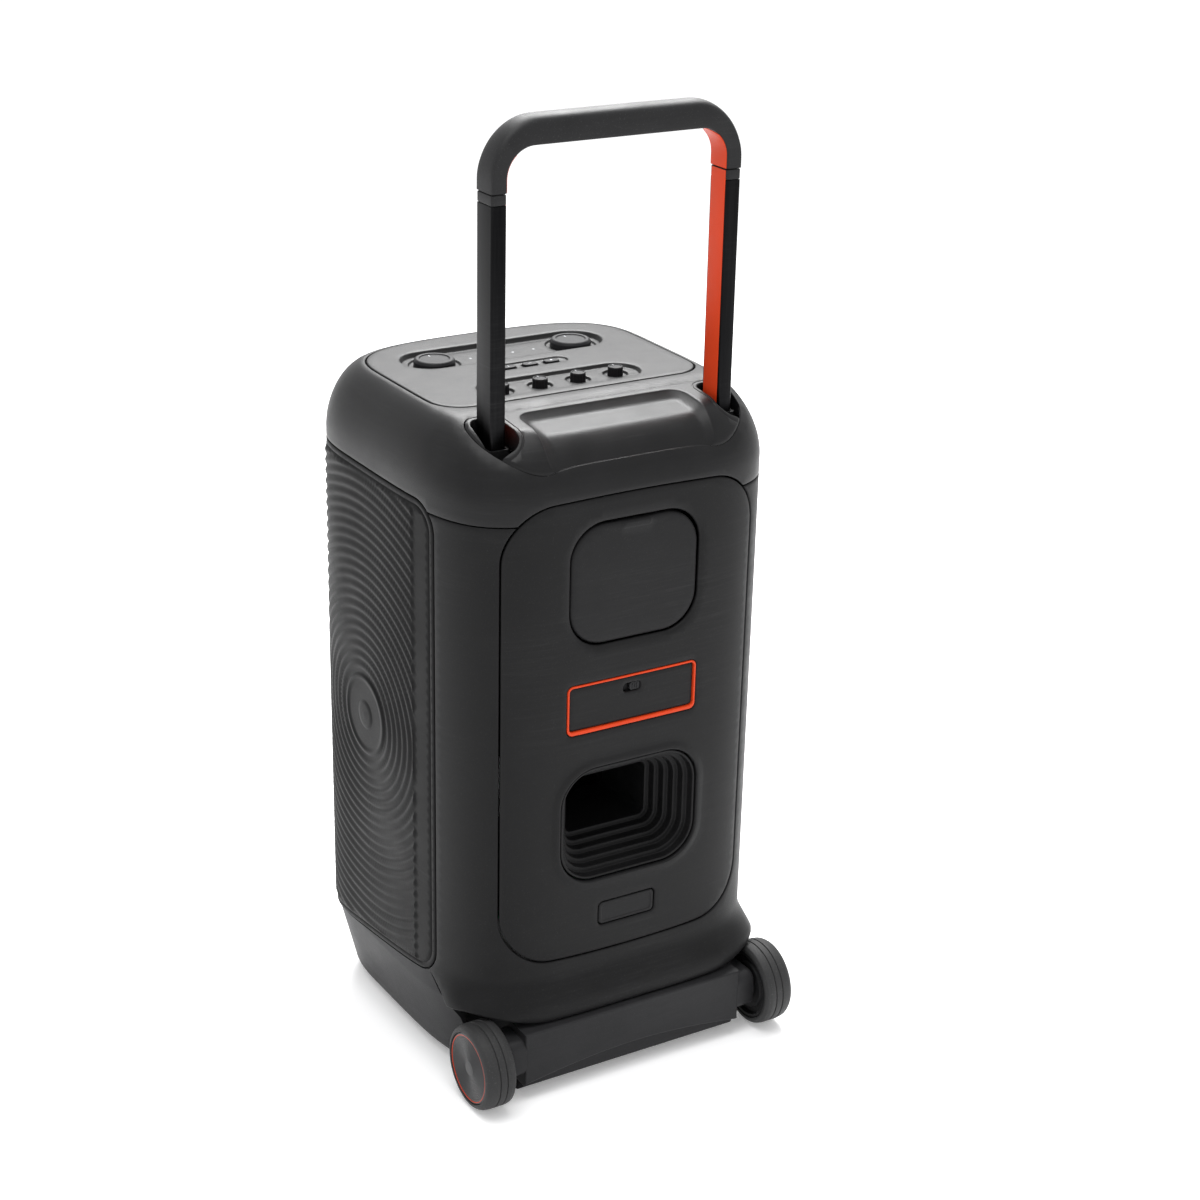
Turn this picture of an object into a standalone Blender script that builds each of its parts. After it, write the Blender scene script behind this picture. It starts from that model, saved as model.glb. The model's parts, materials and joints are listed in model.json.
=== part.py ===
"""Party speaker on two wheels, with a telescopic pull handle.

The origin lies on the floor under the middle of the speaker. +Z is up, the front grille
faces -Y, and the back, with its doors, bass port and wheels, faces +Y. The rest pose has
the handle pulled out. Left and right are seen from behind: left is +X.
"""
import math

import bmesh
import bpy
from mathutils import Matrix, Vector

# ---- driving dimensions, in metres ----
HALF_WIDTH = 0.1665
REAR_Y = 0.1455
FRONT_Y = -0.1858
MID_Y = -0.0678
REAR_POWER = 4.76
FRONT_POWER = 3.31
PLAN_POINTS = 60
WALL = 0.003
GAP = 0.0004

TOP_Z = 0.621
SHOULDER_Z = 0.560
SHOULDER_INSET = 0.034
SHOULDER_POWER = 1.8
REAR_SLOPE_Y = 0.055
REAR_SLOPE = 0.09
CAP_SEAM_Z = 0.5425

SKIRT_Z = 0.112
SKIRT_LOW_Z = 0.068
SKIRT_FLARE = 0.014
BASE_TOP_Z = 0.100
BASE_LOW_Z = 0.0045

TUBE_X = 0.1126
TUBE_Y = 0.0906
TUBE_HALF_X = 0.0072
TUBE_HALF_Y = 0.0131
TUBE_LOW_Z = 0.535
TRIM_THICKNESS = 0.0011
GRIP_JOINT_Z = 0.814
GRIP_TOP_Z = 0.875
BAR_LOW_Z = 0.851
BAR_HIGH_Z = 0.868

WHEEL_RADIUS = 0.0395
WHEEL_OUTER_X = 0.164
WHEEL_WIDTH = 0.030
AXLE_Y = 0.1463
AXLE_Z = WHEEL_RADIUS + 0.0003
AXLE_RADIUS = 0.0035
BLOCK_HALF_X = 0.115
BLOCK_REAR_Y = 0.1516
RAIL_Y = 0.1340

WOOFER_RADIUS = 0.084
WOOFER_HEIGHTS = {"lower": 0.205, "upper": 0.392}
TWEETER_X = 0.045
TWEETER_Z = 0.512
BAFFLE_FRONT_Y = -0.148
BAFFLE_THICKNESS = 0.010

DIAL_X = 0.0708
DIAL_Y = -0.0905
DIAL_RADIUS = 0.019
KNOB_PITCH = 0.0386
KNOB_Y = 0.0100
KNOB_RADIUS = 0.007
KEY_PITCH = 0.022
KEY_Y = -0.042

IO_HALF_X = 0.065
IO_LOW_Z, IO_HIGH_Z = 0.4235, 0.5370
BATTERY_HALF_X = 0.0662
BATTERY_LOW_Z, BATTERY_HIGH_Z = 0.3428, 0.3904
PORT_HALF_X = 0.071
PORT_HALF_Z = 0.056
PORT_Z = 0.252
INLET_HALF_X = 0.030
INLET_LOW_Z, INLET_HIGH_Z = 0.1472, 0.1708

# ---- finishes: colour, roughness, metallic ----
FINISHES = {
    "black_plastic": ((0.030, 0.030, 0.032), 0.55, 0.0),
    "satin_plastic": ((0.055, 0.056, 0.060), 0.38, 0.0),
    "grey_plastic": ((0.075, 0.076, 0.080), 0.50, 0.0),
    "rubber": ((0.020, 0.020, 0.021), 0.75, 0.0),
    "orange": ((0.80, 0.10, 0.015), 0.45, 0.0),
    "tube_metal": ((0.022, 0.022, 0.024), 0.35, 1.0),
    "steel": ((0.55, 0.56, 0.58), 0.30, 1.0),
    "grille_steel": ((0.025, 0.025, 0.027), 0.50, 1.0),
    "cone_paper": ((0.035, 0.035, 0.037), 0.80, 0.0),
    "diffuser": ((0.80, 0.82, 0.84), 0.35, 0.0),
    "circuit": ((0.02, 0.16, 0.07), 0.55, 0.0),
    "wood": ((0.50, 0.36, 0.22), 0.70, 0.0),
}


# ---- scene and object helpers ----
def clear_scene():
    for item in list(bpy.data.objects):
        bpy.data.objects.remove(item, do_unlink=True)


def make_collection(name):
    collection = bpy.data.collections.new(name)
    bpy.context.scene.collection.children.link(collection)
    return collection


def make_material(name):
    colour, roughness, metallic = FINISHES[name]
    finish = bpy.data.materials.new(name)
    finish.use_nodes = True
    shader = finish.node_tree.nodes["Principled BSDF"]
    shader.inputs["Base Color"].default_value = (*colour, 1.0)
    shader.inputs["Roughness"].default_value = roughness
    shader.inputs["Metallic"].default_value = metallic
    return finish


clear_scene()
PARTS = make_collection("party_speaker")
CUTTERS = make_collection("cutters")
MATERIALS = {name: make_material(name) for name in FINISHES}


def add_part(name, mesh, finish, smooth=False):
    """Link a mesh as the sub-part NAME."""
    part = bpy.data.objects.new(name, mesh)
    mesh.materials.clear()
    mesh.materials.append(MATERIALS[finish])
    if smooth:
        mesh.shade_smooth()
        mesh.set_sharp_from_angle(angle=math.radians(35))
    PARTS.objects.link(part)
    return part


def add_cutter(name, mesh):
    cutter = bpy.data.objects.new(name, mesh)
    CUTTERS.objects.link(cutter)
    cutter.hide_render = True
    cutter.display_type = "WIRE"
    return cutter


def boolean(part, mesh, operation="DIFFERENCE"):
    """Cut, join or intersect PART with a closed mesh."""
    cutter = add_cutter(f"{part.name}_{operation.lower()}", mesh)
    modifier = part.modifiers.new(operation.title(), "BOOLEAN")
    modifier.operation = operation
    modifier.solver = "EXACT"
    modifier.object = cutter


# ---- outlines ----
def arc(centre, radius, start, end, steps):
    """Points on an arc, angles in degrees, both ends included."""
    angles = [math.radians(start + (end - start) * i / steps) for i in range(steps + 1)]
    return [(centre[0] + radius * math.cos(a), centre[1] + radius * math.sin(a)) for a in angles]


def rounded_rect(low, high, radius, steps=5):
    """A rectangle from corner LOW to corner HIGH with round corners, anticlockwise."""
    left, right = low[0] + radius, high[0] - radius
    bottom, top = low[1] + radius, high[1] - radius
    outline = arc((right, bottom), radius, -90, 0, steps)
    outline += arc((right, top), radius, 0, 90, steps)
    outline += arc((left, top), radius, 90, 180, steps)
    outline += arc((left, bottom), radius, 180, 270, steps)
    return outline


def centred_rect(half_x, half_y, radius, centre=(0.0, 0.0), steps=5):
    low = (centre[0] - half_x, centre[1] - half_y)
    high = (centre[0] + half_x, centre[1] + half_y)
    return rounded_rect(low, high, radius, steps)


def plan_point(angle, inset):
    """A point of the speaker's plan, a squarish oval, drawn in by INSET."""
    across, along = math.cos(angle), math.sin(angle)
    rear = along >= 0
    power = REAR_POWER if rear else FRONT_POWER
    reach = (REAR_Y - MID_Y if rear else MID_Y - FRONT_Y) - inset
    x = (HALF_WIDTH - inset) * math.copysign(abs(across) ** (2 / power), across)
    y = MID_Y + reach * math.copysign(abs(along) ** (2 / power), along)
    return x, y


def plan_angles():
    return [math.tau * i / PLAN_POINTS for i in range(PLAN_POINTS)]


def plan_ring(z, inset):
    return [(*plan_point(angle, inset), z) for angle in plan_angles()]


# ---- solids ----
PLANES = {
    "XY": Matrix.Identity(3),
    "XZ": Matrix(((1, 0, 0), (0, 0, -1), (0, 1, 0))),
    "YZ": Matrix(((0, 0, 1), (1, 0, 0), (0, 1, 0))),
}


def prism(outline, plane, low, high):
    """A mesh of a flat outline, extruded from LOW to HIGH across its plane."""
    curve = bpy.data.curves.new("outline", "CURVE")
    curve.dimensions = "2D"
    curve.fill_mode = "BOTH"
    curve.extrude = (high - low) / 2
    spline = curve.splines.new("POLY")
    spline.points.add(len(outline) - 1)
    spline.use_cyclic_u = True
    for point, (across, up) in zip(spline.points, outline):
        point.co = (across, up, 0.0, 1.0)
    holder = bpy.data.objects.new("outline", curve)
    CUTTERS.objects.link(holder)
    turn = PLANES[plane]
    middle = turn @ Vector((0.0, 0.0, 1.0)) * (low + high) / 2
    if plane == "XZ":
        middle = -middle
    holder.matrix_world = Matrix.Translation(middle) @ turn.to_4x4()
    bpy.context.view_layer.update()
    graph = bpy.context.evaluated_depsgraph_get()
    mesh = bpy.data.meshes.new_from_object(holder.evaluated_get(graph))
    mesh.transform(holder.matrix_world)
    bpy.data.objects.remove(holder)
    weld(mesh)
    return mesh


def box(low, high):
    """A mesh box between two corners."""
    shape = bmesh.new()
    bmesh.ops.create_cube(shape, size=1.0)
    size = Vector(high) - Vector(low)
    bmesh.ops.scale(shape, vec=size, verts=shape.verts)
    bmesh.ops.translate(shape, vec=(Vector(high) + Vector(low)) / 2, verts=shape.verts)
    return finish_mesh(shape)


def cylinder(radius, start, end, segments=32):
    """A mesh cylinder between two points on one axis."""
    start, end = Vector(start), Vector(end)
    shape = bmesh.new()
    length = (end - start).length
    bmesh.ops.create_cone(shape, cap_ends=True, segments=segments, radius1=radius,
                          radius2=radius, depth=length)
    turn = (end - start).to_track_quat("Z", "Y").to_matrix().to_4x4()
    bmesh.ops.transform(shape, matrix=Matrix.Translation((start + end) / 2) @ turn, verts=shape.verts)
    return finish_mesh(shape)


def finish_mesh(shape):
    mesh = bpy.data.meshes.new("shape")
    bmesh.ops.recalc_face_normals(shape, faces=shape.faces)
    if shape.calc_volume(signed=True) < 0:
        bmesh.ops.reverse_faces(shape, faces=shape.faces)
    shape.to_mesh(mesh)
    shape.free()
    return mesh


def weld(mesh):
    shape = bmesh.new()
    shape.from_mesh(mesh)
    bmesh.ops.remove_doubles(shape, verts=shape.verts, dist=0.00001)
    shape.to_mesh(mesh)
    shape.free()


def loft(rings, cap=True, ladder=False):
    """Skin a row of rings that have equal counts of points.

    Capped ends close with one face, or as a ladder with strips across x. Uncapped, the
    last ring joins the first, which makes a tube.
    """
    shape = bmesh.new()
    rows = [[shape.verts.new(point) for point in ring] for ring in rings]
    pairs = list(zip(rows, rows[1:]))
    if not cap:
        pairs.append((rows[-1], rows[0]))
    count = len(rows[0])
    for lower, upper in pairs:
        for i in range(count):
            j = (i + 1) % count
            shape.faces.new((lower[i], lower[j], upper[j], upper[i]))
    if cap:
        for row in (rows[0], rows[-1]):
            add_ladder(shape, row) if ladder else shape.faces.new(row)
    return finish_mesh(shape)


def add_ladder(shape, row):
    """Close a plan ring, whose points mirror in x, with strips that run across x."""
    count = len(row)
    quarter = count // 4
    steps = range(-quarter, quarter)
    for i in steps:
        corners = [row[i % count], row[(i + 1) % count]]
        corners += [row[(count // 2 - i - 1) % count], row[(count // 2 - i) % count]]
        unique = list(dict.fromkeys(corners))
        shape.faces.new(unique)


def turned(name, profile, finish, segments, axis="Z", place=(0.0, 0.0, 0.0), closed=False):
    """A turned piece: its profile of (radius, height) runs down the outer side."""
    mesh = bpy.data.meshes.new(name)
    points = [(radius, 0.0, height) for radius, height in profile]
    edges = [(i, i + 1) for i in range(len(points) - 1)]
    if closed:
        edges.append((len(points) - 1, 0))
    mesh.from_pydata(points, edges, [])
    part = add_part(name, mesh, finish)
    screw = part.modifiers.new("Turn", "SCREW")
    screw.steps = screw.render_steps = segments
    screw.use_merge_vertices = True
    screw.merge_threshold = 0.00001
    screw.use_smooth_shade = True
    turns = {"Z": (0.0, 0.0, 0.0), "X": (0.0, math.pi / 2, 0.0), "-X": (0.0, -math.pi / 2, 0.0),
             "-Y": (math.pi / 2, 0.0, 0.0)}
    part.rotation_euler = turns[axis]
    part.location = place
    return part


# ---- casing ----
def shoulder_inset(z):
    """How far the top's shoulder has drawn in at height Z."""
    rise = min((z - SHOULDER_Z) / (TOP_Z - 0.001 - SHOULDER_Z), 1.0)
    return SHOULDER_INSET * (1 - (1 - rise ** SHOULDER_POWER) ** (1 / SHOULDER_POWER))


def dome_ring(z, inset, drop):
    """A ring of the top. Behind REAR_SLOPE_Y the top falls away towards the back."""
    rise = min(max((z - SHOULDER_Z) / (TOP_Z - SHOULDER_Z), 0.0), 1.0)
    ring = []
    for x, y, _ in plan_ring(z, inset + drop):
        fall = REAR_SLOPE * max(0.0, y - REAR_SLOPE_Y) * rise
        ring.append((x, y, z - drop - fall))
    return ring


def dome_mesh():
    """The top's skin, a shell open at the seam to the body."""
    heights = [SHOULDER_Z, 0.578, 0.592, 0.602, 0.610, 0.616, TOP_Z - 0.0012]
    outer = [plan_ring(CAP_SEAM_Z + GAP, 0.0)]
    outer += [dome_ring(z, shoulder_inset(z), 0.0) for z in heights]
    outer.append(dome_ring(TOP_Z, SHOULDER_INSET + 0.012, 0.0))
    inner = [plan_ring(CAP_SEAM_Z + GAP, WALL), dome_ring(0.588, shoulder_inset(0.588), WALL)]
    inner += [dome_ring(z, shoulder_inset(z), WALL) for z in (0.606, 0.614)]
    inner.append(dome_ring(TOP_Z, SHOULDER_INSET + 0.012, WALL))
    return loft(inner[::-1] + outer, ladder=True)


def control_outline(grow):
    """The control panel's rear corners, as a rectangle that the plan then rounds in front."""
    half, front, rear, radius = 0.150, -0.200, 0.0457, 0.030
    return rounded_rect((-half, front), (half, rear + grow), radius + grow, steps=6)


def control_hole(grow):
    """The control panel's solid outline: the plan, drawn in, with a straight rear edge."""
    ring = [plan_point(angle, 0.0335 - grow) for angle in plan_angles()]
    return ring, control_outline(grow)


def plate_outline(grow):
    """The handle plate seen from above: straight in front, following the plan behind."""
    half, front, rear = 0.131 + grow, 0.067 - grow, 0.138 + grow
    outline = arc((half - 0.016, front + 0.016), 0.016, 0, -90, 4)[::-1]
    outline += arc((half - 0.052, rear - 0.052), 0.052, 0, 90, 6)
    outline += [(-x, y) for x, y in outline[::-1]]
    return outline


def tube_hole(side):
    centre = (side * TUBE_X, TUBE_Y + 0.0064)
    return centred_rect(0.0140, 0.0235, 0.010, centre, steps=3)


def side_outline(grow):
    """The ridged side panel's outline in y and z; its lower edge falls towards the front."""
    front, rear, radius = -0.156 - grow, 0.0775 + grow, 0.027
    top, low_rear, low_front = 0.550 + grow, 0.096 - grow, 0.074 - grow
    slope = math.degrees(math.atan2(low_rear - low_front, rear - front))
    outline = arc((rear - radius, low_rear + radius), radius, slope - 90, 0, 5)
    outline += arc((rear - radius, top - radius), radius, 0, 90, 5)
    outline += arc((front + 0.012, top - 0.012), 0.012, 90, 180, 3)
    outline += arc((front + 0.012, low_front + 0.012), 0.012, 180, 270 + slope, 3)
    return outline


def back_outline(grow):
    """The back panel's outline in x and z; its upper and lower edges bow gently."""
    half, low, high, bow = 0.1257, 0.1218, 0.5600, 0.005
    middle = (low + high) / 2
    outline = rounded_rect((-half - grow, low - grow), (half + grow, high + grow), 0.047, steps=7)
    bowed = []
    for x, z in outline:
        sign = -1 if z > middle else 1
        bowed.append((x, z + sign * bow * (x / half) ** 2))
    return bowed


def grille_outline(grow):
    return rounded_rect((-0.146 - grow, 0.090 - grow), (0.146 + grow, 0.552 + grow), 0.020, steps=3)


def skirt_flare(z, y):
    """How far the skirt stands out: only at the back, growing downwards."""
    down = min(max((SKIRT_Z - z) / (SKIRT_Z - 0.078), 0.0), 1.0)
    back = min(max((y - 0.060) / 0.060, 0.0), 1.0)
    smooth_down = down * down * (3 - 2 * down)
    smooth_back = back * back * (3 - 2 * back)
    return SKIRT_FLARE * smooth_down * smooth_back


def skirt_ring(z, inset):
    ring = []
    for angle in plan_angles():
        _, y = plan_point(angle, inset)
        ring.append((*plan_point(angle, inset - skirt_flare(z, y)), z))
    return ring


def wall_mesh(inset, thickness, low, high):
    """A plain upright wall that follows the plan."""
    outer = [plan_ring(low, inset), plan_ring(high, inset)]
    inner = [plan_ring(high, inset + thickness), plan_ring(low, inset + thickness)]
    return loft(outer + inner, cap=False)


def skirt_edge_outline():
    """What is cut away under the skirt: its lower edge rises in an arch over each wheel."""
    flat_z, arch_z, start_x, end_x = 0.071, 0.095, 0.068, 0.150
    steps = 8
    edge = []
    for i in range(steps + 1):
        share = i / steps
        smooth = share * share * (3 - 2 * share)
        edge.append((start_x + (end_x - start_x) * share, flat_z + (arch_z - flat_z) * smooth))
    half = edge + [(0.200, arch_z), (0.200, 0.040)]
    return [(-x, z) for x, z in half] + half[::-1]


def base_side_outline(grow):
    """The base seen from the side; its rear edge leans back down to the wheels."""
    low, rear_high, rear_low = -0.010, 0.066 + grow, 0.100 + grow
    return [(-0.240, low), (rear_low, low), (rear_low, 0.062 + grow), (rear_high, BASE_TOP_Z + grow),
            (-0.240, BASE_TOP_Z + grow)]


def wheel_wells(part):
    """Round clearance over each wheel."""
    for side in (1, -1):
        start = (side * (WHEEL_OUTER_X - WHEEL_WIDTH - 0.005), AXLE_Y, AXLE_Z)
        end = (side * (WHEEL_OUTER_X + 0.030), AXLE_Y, AXLE_Z)
        boolean(part, cylinder(WHEEL_RADIUS + 0.009, start, end, 28))


def build_body_shell():
    heights = [SKIRT_LOW_Z, 0.078, 0.085, 0.093, 0.102, SKIRT_Z, CAP_SEAM_Z]
    outer = [skirt_ring(z, 0.0) for z in heights]
    inner = [skirt_ring(z, WALL) for z in (CAP_SEAM_Z, SKIRT_Z, 0.095, 0.080, SKIRT_LOW_Z)]
    shell = add_part("body_shell", loft(outer + inner, cap=False), "black_plastic")
    boolean(shell, prism(back_outline(GAP), "XZ", 0.080, 0.200))
    boolean(shell, box((-0.200, -0.250, 0.050), (0.200, 0.0, 0.600)))
    boolean(shell, prism(side_outline(GAP), "YZ", 0.100, 0.200))
    boolean(shell, prism(side_outline(GAP), "YZ", -0.200, -0.100))
    boolean(shell, prism(base_side_outline(GAP), "YZ", -0.220, 0.220))
    boolean(shell, prism(skirt_edge_outline(), "XZ", 0.040, 0.220))
    wheel_wells(shell)


def build_top_cap():
    cap = add_part("top_cap", dome_mesh(), "satin_plastic")
    plan, rectangle = control_hole(0.0008)
    hole = add_cutter("control_hole", prism(plan, "XY", 0.600, 0.640))
    shape = hole.modifiers.new("Rear edge", "BOOLEAN")
    shape.operation = "INTERSECT"
    shape.object = add_cutter("control_rear_edge", prism(rectangle, "XY", 0.590, 0.650))
    cut = cap.modifiers.new("Control panel", "BOOLEAN")
    cut.object = hole
    boolean(cap, prism(plate_outline(GAP), "XY", 0.560, 0.640))
    boolean(cap, prism(back_outline(GAP), "XZ", 0.080, 0.200))
    boolean(cap, prism(grille_outline(GAP), "XZ", -0.250, -0.080))
    boolean(cap, prism(side_outline(GAP), "YZ", 0.100, 0.200))
    boolean(cap, prism(side_outline(GAP), "YZ", -0.200, -0.100))


def build_side_panels():
    for name, low, high in (("side_panel_left", 0.100, 0.200), ("side_panel_right", -0.200, -0.100)):
        panel = add_part(name, wall_mesh(0.0006, 0.0024, 0.060, 0.560), "rubber")
        boolean(panel, prism(side_outline(0.0), "YZ", low, high), "INTERSECT")
        boolean(panel, prism(grille_outline(GAP), "XZ", -0.250, -0.080))


def build_back_panel():
    panel = add_part("back_panel", wall_mesh(0.0, WALL, 0.110, 0.575), "black_plastic")
    boolean(panel, prism(back_outline(0.0), "XZ", 0.080, 0.200), "INTERSECT")
    openings = [
        rounded_rect((-IO_HALF_X, IO_LOW_Z), (IO_HALF_X, IO_HIGH_Z), 0.034, steps=6),
        rounded_rect((-BATTERY_HALF_X, BATTERY_LOW_Z), (BATTERY_HALF_X, BATTERY_HIGH_Z), 0.006, 3),
        centred_rect(PORT_HALF_X, PORT_HALF_Z, 0.035, (0.0, PORT_Z), steps=6),
        rounded_rect((-INLET_HALF_X, INLET_LOW_Z), (INLET_HALF_X, INLET_HIGH_Z), 0.005, 3),
    ]
    for outline in openings:
        boolean(panel, prism(outline, "XZ", 0.100, 0.200))


def base_inset(z):
    """The base leans in below its top edge, and more around its bottom edge."""
    lean = max(0.0, (0.082 - z)) * 0.235
    turn_under = 0.0045 * max(0.0, (0.014 - z) / (0.014 - BASE_LOW_Z)) ** 2
    return 0.0012 + lean + turn_under


def build_base_tray():
    outer = [plan_ring(z, base_inset(z)) for z in (BASE_TOP_Z, 0.086, 0.074, 0.014, 0.008, BASE_LOW_Z)]
    floor_z = BASE_LOW_Z + WALL
    inner = [plan_ring(z, base_inset(z) + WALL) for z in (floor_z, 0.020, 0.078, BASE_TOP_Z)]
    tray = add_part("base_tray", loft(inner + outer), "grey_plastic")
    boolean(tray, prism(base_side_outline(0.0), "YZ", -0.220, 0.220), "INTERSECT")
    boolean(tray, prism(side_outline(GAP), "YZ", 0.100, 0.200))
    boolean(tray, prism(side_outline(GAP), "YZ", -0.200, -0.100))
    boolean(tray, prism(grille_outline(GAP), "XZ", -0.250, -0.080))
    boolean(tray, box((-BLOCK_HALF_X - GAP, 0.0955, -0.010), (BLOCK_HALF_X + GAP, 0.200, 0.120)))
    wheel_wells(tray)


ARCH_STEPS = 6


def build_axle_block():
    arch_rise, low_z, high_z = 0.011, 0.016, 0.0690
    half = BLOCK_HALF_X
    shares = [i / ARCH_STEPS - 1 for i in range(2 * ARCH_STEPS + 1)]
    outline = [(half * share, low_z + arch_rise * math.cos(math.pi / 2 * share)) for share in shares]
    outline += [(half, high_z), (-half, high_z)]
    block = add_part("axle_block", prism(outline, "XZ", 0.0960, BLOCK_REAR_Y), "grey_plastic")
    boolean(block, box((-0.113, 0.0970, 0.0106), (0.113, BLOCK_REAR_Y - 0.0060, 0.0350)), "UNION")
    boss_end = WHEEL_OUTER_X - WHEEL_WIDTH - 0.0016
    for low, high in ((half - 0.004, boss_end), (-boss_end, -half + 0.004)):
        outline = centred_rect(0.0195, 0.0185, 0.009, (AXLE_Y - 0.001, AXLE_Z + 0.004), steps=4)
        boolean(block, prism(outline, "YZ", low, high), "UNION")
    reach = WHEEL_OUTER_X
    bore = cylinder(AXLE_RADIUS + 0.0003, (-reach, AXLE_Y, AXLE_Z), (reach, AXLE_Y, AXLE_Z), 20)
    boolean(block, bore)


def build_feet():
    rail = centred_rect(0.0125, 0.0051, 0.004, (RAIL_Y, 0.0051), steps=3)
    add_part("foot_rail", prism(rail, "YZ", -0.113, 0.113), "rubber")
    for name, side in (("front_foot_left", 1), ("front_foot_right", -1)):
        height = BASE_LOW_Z - GAP
        profile = [(0.0, height), (0.016, height), (0.016, 0.0012), (0.0148, 0.0), (0.0, 0.0)]
        turned(name, profile, "rubber", 24, place=(side * 0.095, -0.125, 0.0))


# ---- top controls ----
def build_control_panel():
    plan, rectangle = control_hole(0.0)
    panel = add_part("control_panel", prism(plan, "XY", 0.6110, TOP_Z + 0.0002), "satin_plastic")
    boolean(panel, prism(rectangle, "XY", 0.590, 0.650), "INTERSECT")
    sky = 0.640
    boolean(panel, prism(centred_rect(0.101, 0.0265, 0.0264, (0.0, DIAL_Y - 0.002), 4), "XY", 0.6165, sky))
    boolean(panel, prism(centred_rect(0.080, 0.0215, 0.0210, (0.0, KNOB_Y + 0.001), 4), "XY", 0.6178, sky))
    boolean(panel, prism(centred_rect(0.038, 0.0085, 0.0084, (0.0, KEY_Y), 3), "XY", 0.6195, sky))
    for side in (1, -1):
        boolean(panel, cylinder(0.0235, (side * DIAL_X, DIAL_Y, 0.6145), (side * DIAL_X, DIAL_Y, sky), 24))
        boolean(panel, cylinder(0.0035, (side * DIAL_X, DIAL_Y, 0.600), (side * DIAL_X, DIAL_Y, sky), 8))
    for x in knob_places():
        boolean(panel, cylinder(0.0110, (x, KNOB_Y, 0.6155), (x, KNOB_Y, sky), 16))
        boolean(panel, cylinder(0.0032, (x, KNOB_Y, 0.600), (x, KNOB_Y, sky), 8))
    for x in key_places():
        boolean(panel, prism(centred_rect(0.0078, 0.0048, 0.0047, (x, KEY_Y), 3), "XY", 0.600, sky))


def knob_places():
    return [KNOB_PITCH * (i - 1.5) for i in range(4)]


def key_places():
    return [KEY_PITCH * i for i in (-1, 0, 1)]


def build_dials():
    top, low = 0.6228, 0.6151
    for name, side in (("dial_left", 1), ("dial_right", -1)):
        profile = [(0.0, top - 0.0012), (0.012, top - 0.0010), (0.0165, top), (DIAL_RADIUS - 0.0006, top),
                   (DIAL_RADIUS, top - 0.0008), (DIAL_RADIUS, low), (0.0030, low), (0.0030, 0.606),
                   (0.0, 0.606)]
        turned(name, profile, "satin_plastic", 24, place=(side * DIAL_X, DIAL_Y, 0.0))


def build_knobs():
    top, low = 0.6246, 0.6161
    for number, x in enumerate(knob_places(), start=1):
        profile = [(0.0, top), (KNOB_RADIUS - 0.0008, top), (KNOB_RADIUS, top - 0.0008),
                   (KNOB_RADIUS, low), (0.0027, low), (0.0027, 0.606), (0.0, 0.606)]
        turned(f"mix_knob_{number}", profile, "satin_plastic", 16, place=(x, KNOB_Y, 0.0))


def build_keys():
    for number, x in enumerate(key_places(), start=1):
        outline = centred_rect(0.0074, 0.0044, 0.0043, (x, KEY_Y), steps=3)
        add_part(f"key_{number}", prism(outline, "XY", 0.6090, 0.6214), "black_plastic")


def build_handle_plate():
    """The plate round the tubes, with a scoop for the hand under the bar."""
    plate = add_part("handle_plate", dome_mesh(), "satin_plastic")
    boolean(plate, prism(plate_outline(0.0), "XY", 0.560, 0.640), "INTERSECT")
    floor_z, front, rear, half = 0.6005, 0.078, 0.1285, 0.082
    basin = box((-half - WALL, front - WALL, floor_z - WALL), (half + WALL, rear, 0.6120))
    boolean(plate, basin, "UNION")
    steps = [(half, front, 0.640), (half, front, 0.6185), (half - 0.011, front + 0.011, floor_z)]
    rings = []
    for half_x, near, z in steps:
        outline = rounded_rect((-half_x, near), (half_x, 0.150), 0.008, steps=3)
        rings.append([(x, y, z) for x, y in outline])
    boolean(plate, loft(rings))
    for side in (1, -1):
        boolean(plate, prism(tube_hole(side), "XY", 0.560, 0.640))


# ---- handle ----
def build_handle():
    for name, side in (("left", 1), ("right", -1)):
        inner = TUBE_X - TUBE_HALF_X
        outer = TUBE_X + TUBE_HALF_X
        tube_x = sorted((side * (inner + TRIM_THICKNESS + GAP / 2), side * outer))
        trim_x = sorted((side * inner, side * (inner + TRIM_THICKNESS)))
        front, rear = TUBE_Y - TUBE_HALF_Y, TUBE_Y + TUBE_HALF_Y
        outline = rounded_rect((tube_x[0], front), (tube_x[1], rear), 0.0016, steps=2)
        add_part(f"handle_tube_{name}", prism(outline, "XY", TUBE_LOW_Z, GRIP_JOINT_Z), "tube_metal")
        add_part(f"tube_trim_{name}", box((trim_x[0], front + 0.0006, TUBE_LOW_Z),
                                          (trim_x[1], rear - 0.0006, GRIP_JOINT_Z)), "orange")
        build_sleeve(f"guide_sleeve_{name}", side)
    build_grip()


def build_sleeve(name, side):
    low, high, clearance = 0.3200, 0.6005, 0.0006
    centre = (side * TUBE_X, TUBE_Y)
    half_x, half_y = TUBE_HALF_X + clearance, TUBE_HALF_Y + clearance
    sleeve = add_part(name, prism(centred_rect(half_x + 0.002, half_y + 0.002, 0.003, centre, 2),
                                  "XY", low, high), "black_plastic")
    boolean(sleeve, prism(centred_rect(half_x, half_y, 0.001, centre, 1), "XY", low - 0.01, high + 0.01))


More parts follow.
